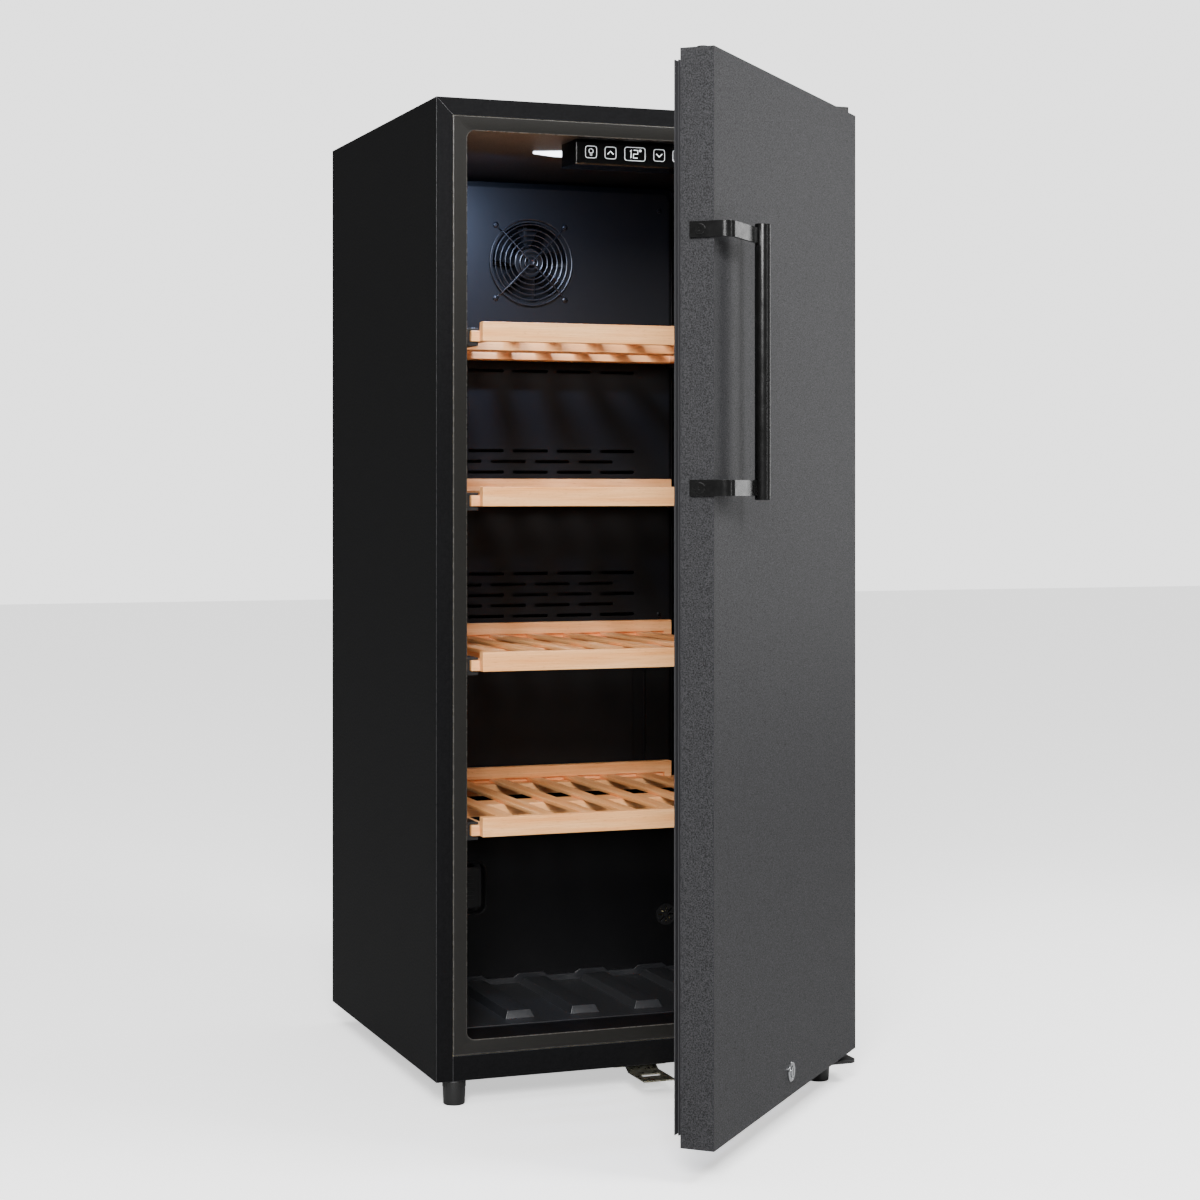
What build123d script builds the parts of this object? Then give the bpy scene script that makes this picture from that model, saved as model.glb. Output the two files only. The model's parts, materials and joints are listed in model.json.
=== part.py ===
from build123d import *
import os
from math import cos, radians, sin

# A free-standing wine cooler: an insulated steel cabinet with a solid door hung on the right,
# four beech shelves, a fan-cooled duct at the back and a compressor in a bay at the bottom.
# Millimetres. +X is right, +Y is back, +Z is up. The origin is on the floor, under the middle of
# the whole cooler as it is stored, with its door ajar.

# ---- overall sizes -------------------------------------------------------------------------
cabinet_width = 545.0
cabinet_depth = 520.0
cabinet_height = 1219.0  # without the feet
foot_height = 30.0
front_y = -36.0  # where the cabinet's front plane stands
door_open = 47.2  # degrees that the stored door stands open
door_thickness = 39.6
door_gap = 12.0  # room for the seal, cabinet front to door
sheet = 1.0  # painted steel sheet
clearance = 0.3  # between pieces that only lie next to each other
run_fit = 0.06  # radial play of a shaft in its bore

# ---- cabinet -------------------------------------------------------------------------------
front_return = 21.5  # width of the folded front edge, sides and top
skirt = 31.5  # height of the folded front edge of the base
liner_flange = 18.5  # width of the liner's front rim
liner_wall = 2.0
liner_radius = 10.0
back_insulation = 50.0
rear_inset = 3.0  # rear panel inside the side panels' back edges, for its screw heads
hump_depth = 160.0  # the liner's step over the compressor, front to back
hump_height = 288.0  # and its height above the base
bay_wall = 35.0  # insulation between the hump and the compressor
bay_roof = 27.0

# ---- hinge, lock and handle ----------------------------------------------------------------
hinge_inset = 13.0  # hinge axis from the cabinet's side
hinge_depth = 17.0  # hinge axis from the door's inner face
pin_radius = 4.0
plate = 4.0
door_lift = 7.0  # door bottom above the cabinet's bottom
door_rise = 0.5  # door top above the cabinet's top
cap_thickness = 14.0  # plastic end caps of the door
seal_inset = 10.5
seal_width = 20.0
handle_drop = 201.0  # upper arm below the door's top
handle_spacing = 284.0
handle_reach = 92.5  # bar centre from the door's free edge
handle_out = 25.0  # bar centre from the door's face
bar_radius = 9.0
bar_over = 4.5  # bar past each arm
arm_height = 18.0
arm_thick = 4.0
arm_out = 22.0  # arm's outer face from the door's face
arm_grip = 27.5  # how far the arm lies on the door's edge
lock_height = 28.7  # lock centre above the door's bottom
lock_radius = 7.0
lock_sleeve = 9.5
cam_length = 46.0

# ---- shelves -------------------------------------------------------------------------------
shelf_count = 4
top_bay = 236.5  # ceiling to the top shelf's front rail
low_bay = 36.5  # hump to the lowest shelf's front rail
rail_height = 24.3
rail_thick = 14.0
rail_gap = 21.0  # front rail's end to the liner wall
slat_count = 7
slat_pitch = 56.0
slat_width = 22.0
slat_thick = 5.0
rail_groove = 5.0  # how deep the slats' ends sit in the rails
slat_drop = 4.0  # slat tops below the front rail's top
side_rail = 22.0
side_height = 13.6
side_gap = 10.5  # side rail to the liner wall
back_rise = 12.5  # back rail above the front rail
cross_middle = 210.0  # middle of the cross bar, behind the front rail's face
cross_depth = 48.0
rear_cross = 22.0
ledge = 5.0  # thickness of the runner's ledge
ledge_reach = 10.0  # how far it reaches under the side rail

# ---- air duct and fan ----------------------------------------------------------------------
cover_gap = 17.0  # duct cover to the liner's side walls
cover_drop = 12.0  # and to the ceiling
cover_wall = 2.0
duct_room = 3.0  # behind the fan
fan_drop = 118.0  # fan centre below the ceiling
fan_size = 120.0
fan_depth = 25.0
fan_bore = 57.5
fan_screw_pitch = 105.0
hub_radius = 21.0
blade_count = 7
guard_rings = 8
guard_radius = 62.0
guard_pitch = 7.5
guard_hub = 5.0
guard_out = 4.0  # rings in front of the duct cover
wire = 1.0  # guard wire radius
arm_wire = 1.1
eye_radius = 4.5
eye_thick = 1.6
screw_shank = 1.9
screw_hole = 2.0
screw_head = 3.6
head_height = 2.0
slot_length = 53.5
slot_height = 5.0
slot_pitch = 67.0
row_pitch = 15.2

# ---- worked out from the values above ------------------------------------------------------
half_width = cabinet_width / 2
bottom_z = foot_height
top_z = foot_height + cabinet_height
open_x = half_width - front_return - liner_flange
open_low = bottom_z + skirt + liner_flange
open_high = top_z - front_return - liner_flange
duct_depth = cover_wall + fan_depth + duct_room
liner_back = cabinet_depth - back_insulation
hump_front = liner_back - hump_depth
hump_top = bottom_z + hump_height
cover_front = liner_back - duct_depth
bay_front = hump_front + bay_wall
bay_top = hump_top - bay_roof
pan_top = bottom_z + 1.2 * sheet
rear_y = cabinet_depth - rear_inset - sheet  # inner face of the rear panel
door_low = bottom_z + door_lift
door_high = top_z + door_rise
hinge_x = half_width - hinge_inset
hinge_y = -door_gap - hinge_depth
door_right = hinge_inset  # door's edges and faces, measured from the hinge axis
door_left = hinge_inset - cabinet_width
door_inner = hinge_depth
door_outer = hinge_depth - door_thickness
shelf_back = cover_front - 6.0  # the shelves stop short of the duct cover
shelf_front = 2.0
top_shelf = open_high - top_bay
low_shelf = hump_top + low_bay
shelf_step = (top_shelf - low_shelf) / (shelf_count - 1)
shelf_levels = [top_shelf - i * shelf_step for i in range(shelf_count)]
fan_z = open_high - fan_drop
cover_x = open_x - cover_gap
cover_high = open_high - cover_drop
cover_low = shelf_levels[2] - 4.0
lock_z = door_low + lock_height
turn = radians(door_open)


# ---- planes: y is measured back from the cabinet's front, or from the hinge axis ------------
def level(z):
    """A level plane in the cabinet."""
    return Plane((0, front_y, z))


def upright(y):
    """A plane across the cabinet that faces the front, drawn in x and z."""
    return Plane((0, front_y + y, 0), x_dir=(1, 0, 0), z_dir=(0, -1, 0))


def side(x):
    """A plane along the cabinet that faces right, drawn in y and z."""
    return Plane((x, front_y, 0), x_dir=(0, 1, 0), z_dir=(1, 0, 0))


def door_point(x, y, z=0.0):
    """A point of the open door, from its place beside the hinge axis with the door shut."""
    return (
        hinge_x + x * cos(turn) - y * sin(turn),
        front_y + hinge_y + x * sin(turn) + y * cos(turn),
        z,
    )


def door_level(z):
    """A level plane in the door."""
    return Plane(door_point(0, 0, z), x_dir=(cos(turn), sin(turn), 0))


def door_upright(y):
    """A plane along the door that faces outwards, drawn in x and z."""
    facing = (sin(turn), -cos(turn), 0)
    return Plane(door_point(0, y), x_dir=(cos(turn), sin(turn), 0), z_dir=facing)


def door_side(x):
    """A plane across the door that faces its hinge edge, drawn in y and z."""
    along = (cos(turn), sin(turn), 0)
    return Plane(door_point(x, 0), x_dir=(-sin(turn), cos(turn), 0), z_dir=along)


# ---- shapes used by many pieces ------------------------------------------------------------
def block(plane, low, high, amount, mode=Mode.ADD, radius=0.0):
    """A straight block on a rectangle from low to high, its corners rounded by radius."""
    with BuildSketch(plane) as face:
        with Locations(((low[0] + high[0]) / 2, (low[1] + high[1]) / 2)):
            if radius:
                RectangleRounded(high[0] - low[0], high[1] - low[1], radius)
            else:
                Rectangle(high[0] - low[0], high[1] - low[1])
    extrude(face.sketch, amount=amount, mode=mode)


def round_bar(plane, centre, radius, amount, mode=Mode.ADD):
    """A straight round bar or hole."""
    with BuildSketch(plane) as face:
        with Locations(centre):
            Circle(radius)
    extrude(face.sketch, amount=amount, mode=mode)


def prism(plane, points, amount, mode=Mode.ADD, both=False):
    """A straight piece on an outline of straight lines."""
    with BuildSketch(plane) as face:
        with BuildLine():
            Polyline(*points, close=True)
        make_face()
    extrude(face.sketch, amount=amount, mode=mode, both=both)


def tube(points, radius, bend, mode=Mode.ADD):
    """A round pipe along straight runs with rounded bends."""
    with BuildLine() as path:
        FilletPolyline(*points, radius=bend)
    with BuildSketch(Plane(path.line @ 0, z_dir=path.line % 0)) as section:
        Circle(radius)
    sweep(section.sketch, path=path.line, mode=mode)


def save(piece, name):
    """Names a finished piece and writes it."""
    piece.part.label = name
    export_step(piece.part, "parts/" + name + ".step")


os.makedirs("parts", exist_ok=True)

# ==== cabinet shell =========================================================================
shell_x = half_width - sheet

# Side panels: flat sheets with a folded front edge, mitred at the top.
for name, sign in (("side_panel_left", -1), ("side_panel_right", 1)):
    with BuildPart() as side_panel:
        low_x, high_x = sorted((sign * shell_x, sign * half_width))
        block(level(bottom_z), (low_x, sheet), (high_x, cabinet_depth), cabinet_height)
        fold = [
            (sign * half_width, bottom_z),
            (sign * (half_width - front_return), bottom_z),
            (sign * (half_width - front_return), top_z - front_return),
            (sign * half_width, top_z),
        ]
        prism(upright(0), fold, -sheet)
    save(side_panel, name)

# Top panel: a flat sheet between the sides, its folded front edge mitred at both ends.
with BuildPart() as top_panel:
    block(level(top_z), (-shell_x, sheet), (shell_x, cabinet_depth), -sheet)
    fold = [
        (-half_width, top_z),
        (-half_width + front_return, top_z - front_return),
        (half_width - front_return, top_z - front_return),
        (half_width, top_z),
    ]
    prism(upright(0), fold, -sheet)
save(top_panel, "top_panel")

foot_x = half_width - 26.5
foot_y = 12.0
foot_radius = 15.0
foot_base = 13.5
stud_radius = 4.0
stud_length = 12.0

# Base pan: carries the compressor and the feet, with a folded skirt at the front.
with BuildPart() as base_pan:
    block(level(bottom_z), (-shell_x, sheet), (shell_x, cabinet_depth - sheet), pan_top - bottom_z)
    skirt_x = half_width - front_return
    block(upright(0), (-skirt_x, bottom_z), (skirt_x, bottom_z + skirt), -sheet)
    round_bar(level(bottom_z), (-foot_x, foot_y), stud_radius + run_fit, pan_top, Mode.SUBTRACT)
save(base_pan, "base_pan")

# Machine bay plate: a folded sheet that walls off the compressor from the insulation.
with BuildPart() as machine_bay_plate:
    block(level(pan_top), (-shell_x, bay_front), (shell_x, bay_front + sheet), bay_top - pan_top)
    block(level(bay_top), (-shell_x, bay_front), (shell_x, rear_y), sheet)
save(machine_bay_plate, "machine_bay_plate")

# Rear panel: closes the back above the open compressor bay.
with BuildPart() as rear_panel:
    low, high = (-shell_x, bay_top), (shell_x, top_z - sheet)
    block(upright(rear_y), low, high, -sheet)
save(rear_panel, "rear_panel")

filter_x = -open_x + 88.0  # charcoal filter port in the hump, on the left
filter_z = open_low + 135.5
filter_half = 36.5
filter_depth = 20.0
filter_corner = 14.0
cup_wall = 1.5
grille_x = open_x - 74.5  # drain and air grille in the hump, on the right
grille_z = open_low + 83.0
grille_radius = 15.0
grille_neck = grille_radius - 2.0
grille_depth = 6.0


def cavity(grow):
    """The room inside the liner, with its step over the compressor, grown by a wall."""
    outline = [
        (0, open_low - grow),
        (hump_front + grow, open_low - grow),
        (hump_front + grow, hump_top - grow),
        (liner_back + grow, hump_top - grow),
        (liner_back + grow, open_high + grow),
        (0, open_high + grow),
    ]
    with BuildPart() as room:
        prism(side(0), outline, open_x + grow, both=True)
        long_edges = room.edges().filter_by(Axis.Y).filter_by(lambda e: e.length > hump_depth)
        fillet(long_edges, liner_radius + grow)
    return room.part


liner_air = cavity(0)
liner_outside = cavity(liner_wall)

# Liner: one formed plastic shell with a flat front rim that meets the seal.
with BuildPart() as liner:
    add(liner_outside)
    rim_x = half_width - front_return - clearance
    rim_low = (-rim_x, bottom_z + skirt + clearance)
    rim_high = (rim_x, top_z - front_return - clearance)
    block(upright(0), rim_low, rim_high, -liner_wall)
    add(liner_air, mode=Mode.SUBTRACT)
    low = (filter_x - filter_half, filter_z - filter_half)
    high = (filter_x + filter_half, filter_z + filter_half)
    block(upright(hump_front), low, high, -liner_wall, Mode.SUBTRACT, radius=filter_corner)
    round_bar(upright(hump_front), (grille_x, grille_z), grille_neck, -liner_wall, Mode.SUBTRACT)
save(liner, "liner")

coil_low = hump_top + 40.0
coil_high = top_z - 120.0
coil_front = 60.0
coil_back = cabinet_depth - 60.0
coil_pitch = 60.0
coil_radius = 2.5
coil_room = 6.0

# Insulation: foamed in between the shell and the liner, with room for the condenser tubes.
with BuildPart() as cabinet_foam:
    outline = [
        (liner_wall, pan_top),
        (bay_front, pan_top),
        (bay_front, bay_top + sheet),
        (rear_y, bay_top + sheet),
        (rear_y, top_z - sheet),
        (liner_wall, top_z - sheet),
    ]
    prism(side(0), outline, shell_x, both=True)
    add(liner_outside, mode=Mode.SUBTRACT)
    for sign in (-1, 1):
        low_x, high_x = sorted((sign * shell_x, sign * (shell_x - coil_room)))
        block(
            level(coil_low - coil_room),
            (low_x, coil_front - coil_room),
            (high_x, coil_back + coil_room),
            coil_high - coil_low + 2 * coil_room,
            Mode.SUBTRACT,
        )
    low = (filter_x - filter_half, filter_z - filter_half)
    high = (filter_x + filter_half, filter_z + filter_half)
    block(upright(hump_front), low, high, -filter_depth, Mode.SUBTRACT, radius=filter_corner)
    hole = -grille_depth - 2
    round_bar(upright(hump_front), (grille_x, grille_z), grille_neck, hole, Mode.SUBTRACT)
    round_bar(level(pan_top), (-foot_x, foot_y), stud_radius + 2, stud_length + 2, Mode.SUBTRACT)
save(cabinet_foam, "cabinet_foam")

# ==== cold side: condenser, evaporator, duct and fan ========================================
coil_rows = int((coil_high - coil_low) / coil_pitch)
coil_x = shell_x - coil_room / 2

# Condenser: a tube that winds up the inside of each side panel.
with BuildPart() as condenser_tubes:
    for sign in (-1, 1):
        route = []
        for row in range(coil_rows):
            ends = (coil_front, coil_back) if row % 2 == 0 else (coil_back, coil_front)
            for y in ends:
                route.append((sign * coil_x, front_y + y, coil_low + row * coil_pitch))
        tube(route, coil_radius, coil_pitch / 2 - 2)
save(condenser_tubes, "condenser_tubes")

plate_low = cover_low + 25.0
plate_high = fan_z - fan_size / 2 - 12.0
plate_x = cover_x - 30.0
plate_gap = 6.0  # plate to the liner's back
plate_thick = 1.5
channel_pitch = 28.0
channel_inset = 14.0
channel_half = 4.0
channel_rise = 3.0

# Evaporator: a thin aluminium plate with raised refrigerant channels, behind the duct cover.
with BuildPart() as evaporator_plate:
    plane = upright(liner_back - plate_gap)
    block(plane, (-plate_x, plate_low), (plate_x, plate_high), -plate_thick)
    for i in range(int((plate_high - plate_low) / channel_pitch)):
        z = plate_low + channel_pitch * (i + 0.5)
        low = (-plate_x + channel_inset, z - channel_half)
        high = (plate_x - channel_inset, z + channel_half)
        block(plane, low, high, channel_rise, radius=channel_half - 0.1)
save(evaporator_plate, "evaporator_plate")

cover_screw_x = cover_x - 16.0
cover_screw_drop = 24.0
half_screws = fan_screw_pitch / 2

# Duct cover: a shallow moulded cover with the fan opening and staggered rows of air slots.
with BuildPart() as evaporator_cover:
    low, high = (-cover_x, cover_low), (cover_x, cover_high)
    block(upright(cover_front), low, high, -duct_depth, radius=11)
    inner_low = (-cover_x + cover_wall, cover_low + cover_wall)
    inner_high = (cover_x - cover_wall, cover_high - cover_wall)
    depth = duct_depth - cover_wall
    block(upright(liner_back), inner_low, inner_high, depth, Mode.SUBTRACT, radius=9)
    round_bar(upright(cover_front), (0, fan_z), fan_bore, -cover_wall, Mode.SUBTRACT)
    for x in (-half_screws, half_screws):
        for z in (fan_z - half_screws, fan_z + half_screws):
            round_bar(upright(cover_front), (x, z), screw_hole, -cover_wall, Mode.SUBTRACT)
    for x in (-cover_screw_x, cover_screw_x):
        for z in (cover_high - cover_screw_drop, cover_low + cover_screw_drop):
            round_bar(upright(cover_front), (x, z), screw_hole, -cover_wall, Mode.SUBTRACT)
    # Lowest row above or below its shelf, and the number of rows.
    for shelf, lowest, rows in ((0, -38.3, 3), (1, 22.4, 3), (2, 21.2, 5)):
        for row in range(rows):
            count = 5 - row % 2
            with BuildSketch(upright(cover_front)):
                with Locations((0, shelf_levels[shelf] + lowest + row * row_pitch)):
                    with GridLocations(slot_pitch, 1, count, 1):
                        SlotOverall(slot_length, slot_height)
            extrude(amount=-cover_wall, mode=Mode.SUBTRACT)
save(evaporator_cover, "evaporator_cover")

groove_low = 158.0
groove_high = 179.0
groove_depth = 9.0
lower_high = cover_low - 2.0
lower_low = hump_top + clearance

# Lower duct panel: hides the drain hose, which runs down the upright groove on the right.
with BuildPart() as lower_duct_panel:
    low_left, low_right = -cover_x, cover_x
    height = lower_high - lower_low
    back = cover_front + cover_wall
    groove_left = min(groove_low, cover_x - 40)
    groove_right = groove_left + groove_high - groove_low
    block(level(lower_low), (low_left, cover_front), (groove_left, back), height)
    block(level(lower_low), (groove_right, cover_front), (low_right, back), height)
    floor_low = (groove_left - cover_wall, cover_front + groove_depth)
    floor_high = (groove_right + cover_wall, back + groove_depth)
    block(level(lower_low), floor_low, floor_high, height)
    for x in (groove_left - cover_wall, groove_right):
        block(level(lower_low), (x, cover_front), (x + cover_wall, back + groove_depth), height)
    for x in (low_left, low_right - cover_wall):
        block(level(lower_low), (x, cover_front), (x + cover_wall, liner_back), height)
save(lower_duct_panel, "lower_duct_panel")

fan_front = cover_front + cover_wall
fan_back = fan_front + fan_depth
fan_shaft = 2.0
strut = 2.5  # half the width of a motor strut
motor_seat = 3.5

# Fan housing: a square frame with a round bore, four struts and the motor seat with its shaft.
with BuildPart() as fan_housing:
    low = (-fan_size / 2, fan_z - fan_size / 2)
    high = (fan_size / 2, fan_z + fan_size / 2)
    block(upright(fan_front), low, high, -fan_depth, radius=5)
    round_bar(upright(fan_front), (0, fan_z), fan_bore, -fan_depth, Mode.SUBTRACT)
    for x in (-half_screws, half_screws):
        for z in (fan_z - half_screws, fan_z + half_screws):
            round_bar(upright(fan_front), (x, z), screw_hole, -fan_depth, Mode.SUBTRACT)
    reach = fan_bore + 1
    block(upright(fan_back), (-reach, fan_z - strut), (reach, fan_z + strut), 3)
    block(upright(fan_back), (-strut, fan_z - reach), (strut, fan_z + reach), 3)
    round_bar(upright(fan_back), (0, fan_z), hub_radius, motor_seat)
    round_bar(upright(fan_back), (0, fan_z), fan_shaft, fan_depth - 6)
save(fan_housing, "fan_housing")

# Impeller: a hub with pitched blades that turns on the motor shaft.
with BuildPart() as fan_impeller:
    hub_back = fan_back - motor_seat - 0.5
    hub_length = fan_depth - 8.0
    round_bar(upright(hub_back), (0, fan_z), hub_radius, hub_length)
    blade_plane = Plane((0, front_y + hub_back - hub_length / 2, fan_z), z_dir=(0, -1, 0))
    with BuildPart(blade_plane, mode=Mode.PRIVATE) as blades:
        with PolarLocations((hub_radius + fan_bore) / 2 - 2, blade_count):
            Box(fan_bore - hub_radius, 22, 1.6, rotation=(38, 0, 0))
    add(blades.part)
    with BuildPart(mode=Mode.PRIVATE) as sweep_room:
        round_bar(upright(hub_back), (0, fan_z), fan_bore - 2, hub_length)
    add(sweep_room.part, mode=Mode.INTERSECT)
    bore = fan_shaft + run_fit
    round_bar(upright(hub_back), (0, fan_z), bore, hub_length - 2, Mode.SUBTRACT)
save(fan_impeller, "fan_impeller")

guard_y = cover_front - guard_out

# Finger guard: welded wire rings on two crossed arms, with an eye at each corner.
with BuildPart() as fan_guard:
    for i in range(guard_rings):
        ring_plane = Plane((0, front_y + guard_y, fan_z), z_dir=(0, -1, 0))
        with BuildPart(ring_plane, mode=Mode.PRIVATE) as ring:
            Torus(guard_radius - i * guard_pitch, wire)
        add(ring.part)
    for x, z in ((-1, -1), (-1, 1), (1, -1), (1, 1)):
        eye = (x * half_screws, fan_z + z * half_screws)
        round_bar(upright(cover_front), eye, eye_radius, eye_thick)
        low_y, high_y = front_y + cover_front - arm_wire - 0.1, front_y + guard_y + 0.6
        route = []
        for reach, y in ((half_screws - 3.2, low_y), (half_screws - 6.5, high_y), (4, high_y)):
            route.append((x * reach, y, fan_z + z * reach))
        tube(route, arm_wire, 4)
    round_bar(upright(guard_y + wire), (0, fan_z), guard_hub, 2 * wire)
    for x, z in ((-1, -1), (-1, 1), (1, -1), (1, 1)):
        eye = (x * half_screws, fan_z + z * half_screws)
        round_bar(upright(cover_front), eye, screw_hole, 3, Mode.SUBTRACT)
save(fan_guard, "fan_guard")

# Screws of the fan and of the duct cover, all the same.
with BuildPart() as duct_screws:
    for x in (-half_screws, half_screws):
        for z in (fan_z - half_screws, fan_z + half_screws):
            seat = upright(cover_front - eye_thick)
            round_bar(seat, (x, z), screw_head, head_height)
            round_bar(seat, (x, z), screw_shank, -14)
    for x in (-cover_screw_x, cover_screw_x):
        for z in (cover_high - cover_screw_drop, cover_low + cover_screw_drop):
            round_bar(upright(cover_front), (x, z), screw_head, head_height)
            round_bar(upright(cover_front), (x, z), screw_shank, -12)
save(duct_screws, "duct_screws")

# ==== controls and lamp, under the ceiling ==================================================
box_x = 81.0
box_front = 26.0
box_back = 79.0
box_height = 31.0
box_wall = 2.0
glass = 2.0

# Control housing: a black box under the ceiling, open at the top.
with BuildPart() as control_housing:
    block(level(open_high), (-box_x, box_front), (box_x, box_back), -box_height, radius=3)
    low = (-box_x + box_wall, box_front + box_wall)
    high = (box_x - box_wall, box_back - box_wall)
    block(level(open_high), low, high, box_wall - box_height, Mode.SUBTRACT, radius=1.5)
save(control_housing, "control_housing")

# Control glass: the touch panel on the front of the housing.
with BuildPart() as control_glass:
    low = (-box_x + 1, open_high - box_height + 1)
    high = (box_x - 1, open_high - 1)
    block(upright(box_front), low, high, glass, radius=2)
save(control_glass, "control_glass")

# Control board: stands behind the front wall, with its display module.
with BuildPart() as control_board:
    board_y = box_front + box_wall + 3
    low = (-box_x + 8, open_high - box_height + 4)
    high = (box_x - 8, open_high - 4)
    block(upright(board_y), low, high, -1.6)
    block(upright(board_y), (-16, open_high - 24), (16, open_high - 7), 2.6)
save(control_board, "control_board")

lamp_x = 95.0
lamp_front = 133.0
lamp_back = 168.0
lamp_taper = 34.0  # how far each end tapers
lamp_height = 3.2
lens_wall = 1.0


def lens_outline(inset):
    """A long strip pointed at both ends, drawn inside the lens's edge by an inset."""
    middle = (lamp_front + lamp_back) / 2
    half = (lamp_back - lamp_front) / 2 - inset
    end = lamp_x - 2 * inset
    start = end - lamp_taper
    return [
        (-end, middle),
        (-start, middle - half),
        (start, middle - half),
        (end, middle),
        (start, middle + half),
        (-start, middle + half),
    ]


# Lamp lens: a frosted cover over the light strip, tapered at its ends.
with BuildPart() as lamp_lens:
    prism(level(open_high), lens_outline(0), -lamp_height)
    prism(level(open_high), lens_outline(lens_wall), lens_wall - lamp_height, Mode.SUBTRACT)
save(lamp_lens, "lamp_lens")

# Lamp board: a row of light-emitting diodes on a narrow board.
with BuildPart() as lamp_board:
    lamp_mid = (lamp_front + lamp_back) / 2
    board_x = lamp_x - lamp_taper
    block(level(open_high), (-board_x, lamp_mid - 8), (board_x, lamp_mid + 8), -1.2)
    for i in range(8):
        x = board_x * (2 * i - 7) / 8
        block(level(open_high - 1.2), (x - 2, lamp_mid - 2), (x + 2, lamp_mid + 2), -0.8)
save(lamp_board, "lamp_board")

# ==== shelves ===============================================================================
rail_x = open_x - rail_gap
side_high = open_x - side_gap
side_low = side_high - side_rail
back_front = shelf_back - rail_thick
slats_front = shelf_front + rail_thick

for number, z in enumerate(shelf_levels, start=1):
    low_z = z - rail_height
    slat_low = z - slat_drop - slat_thick

    # Frame: grooved front and back rails glued to two side rails, with two cross bars.
    with BuildPart() as shelf_frame:
        block(level(low_z), (-rail_x, shelf_front), (rail_x, slats_front), rail_height)
        low, high = (-rail_x, back_front), (rail_x, shelf_back)
        block(level(low_z), low, high, rail_height + back_rise)
        for sign in (-1, 1):
            low_x, high_x = sorted((sign * side_low, sign * side_high))
            block(level(low_z), (low_x, slats_front), (high_x, shelf_back), side_height)
        cross_front = shelf_front + cross_middle - cross_depth / 2
        low, high = (-side_low, cross_front), (side_low, cross_front + cross_depth)
        block(level(low_z), low, high, slat_low - low_z)
        low, high = (-side_low, back_front - rear_cross), (side_low, back_front)
        block(level(low_z), low, high, slat_low - low_z)
        low, high = (-side_low, slats_front - rail_groove), (side_low, slats_front)
        block(level(slat_low), low, high, slat_thick, Mode.SUBTRACT)
        low, high = (-side_low, back_front), (side_low, back_front + rail_groove)
        block(level(slat_low), low, high, slat_thick, Mode.SUBTRACT)
    save(shelf_frame, f"shelf_{number}_frame")

    # Slats: planed strips on the cross bars, their ends in the rails' grooves.
    with BuildPart() as shelf_slats:
        for i in range(slat_count):
            x = (i - (slat_count - 1) / 2) * slat_pitch
            low = (x - slat_width / 2, slats_front - rail_groove)
            high = (x + slat_width / 2, back_front + rail_groove)
            block(level(slat_low), low, high, slat_thick)
    save(shelf_slats, f"shelf_{number}_slats")

runner_front = 20.0
cap_back = 60.0  # the channel is closed above as far back as this
cap_thick = 3.0

# Runners: channels on the liner's side walls that the shelves slide in, closed at the front top.
with BuildPart() as shelf_runners:
    for z in shelf_levels:
        for sign in (-1, 1):
            ledge_top = z - rail_height - clearance
            cap_low = z - rail_height + side_height + clearance
            low_x, high_x = sorted((sign * (side_high - ledge_reach), sign * open_x))
            block(level(ledge_top), (low_x, runner_front), (high_x, cover_front), -ledge)
            block(level(cap_low), (low_x, runner_front), (high_x, cap_back), cap_thick)
            low_x, high_x = sorted((sign * (side_high + 1), sign * open_x))
            height = cap_low + cap_thick - ledge_top
            block(level(ledge_top), (low_x, runner_front), (high_x, cover_front), height)
save(shelf_runners, "shelf_runners")

# ==== bottom of the cavity ==================================================================
tray_x = open_x - liner_radius
tray_front = 60.0
tray_back = hump_front - clearance
ridge_count = 4
ridge_pitch = 2 * tray_x / (ridge_count + 1)
ridge_width = 42.0
ridge_height = 12.0
ridge_taper = 24.0
lip_low = 10.0
lip_high = 15.0
lip_thick = 4.0
mat = 2.0

# Bottle tray: a moulded mat on the liner floor with raised ridges and a stepped back lip.
with BuildPart() as bottle_tray:
    block(level(open_low), (-tray_x, tray_front), (tray_x, tray_back), mat, radius=6)
    lip = [(-tray_x + 6, open_low)]
    for i in range(ridge_count):
        x = (i - (ridge_count - 1) / 2) * ridge_pitch
        with BuildSketch(level(open_low)):
            with Locations((x, (tray_front + 28 + tray_back - 12) / 2)):
                Rectangle(ridge_width, tray_back - tray_front - 40)
        extrude(amount=ridge_height, taper=ridge_taper)
        steps = ((-25, lip_low), (-18, lip_high), (18, lip_high), (25, lip_low))
        for step, height in steps:
            lip.append((x + step, open_low + height))
    lip.insert(1, (-tray_x + 6, open_low + lip_low))
    lip.append((tray_x - 6, open_low + lip_low))
    lip.append((tray_x - 6, open_low))
    prism(upright(tray_back), lip, lip_thick)
save(bottle_tray, "bottle_tray")

cartridge_gap = 8.0  # cartridge inside the cup's rim
cartridge_in = 4.0  # and behind the hump's face

# Charcoal filter: a cup set in the hump and the filter cartridge that clips into it.
with BuildPart() as charcoal_filter:
    low = (filter_x - filter_half, filter_z - filter_half)
    high = (filter_x + filter_half, filter_z + filter_half)
    block(upright(hump_front), low, high, -filter_depth, radius=filter_corner)
    inside = cup_wall - filter_depth
    low = (low[0] + cup_wall, low[1] + cup_wall)
    high = (high[0] - cup_wall, high[1] - cup_wall)
    corner = filter_corner - cup_wall
    block(upright(hump_front), low, high, inside, Mode.SUBTRACT, radius=corner)
    half = filter_half - cartridge_gap
    low, high = (filter_x - half, filter_z - half), (filter_x + half, filter_z + half)
    block(upright(hump_front + cartridge_in), low, high, inside + cartridge_in, radius=9)
save(charcoal_filter, "charcoal_filter")

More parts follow.
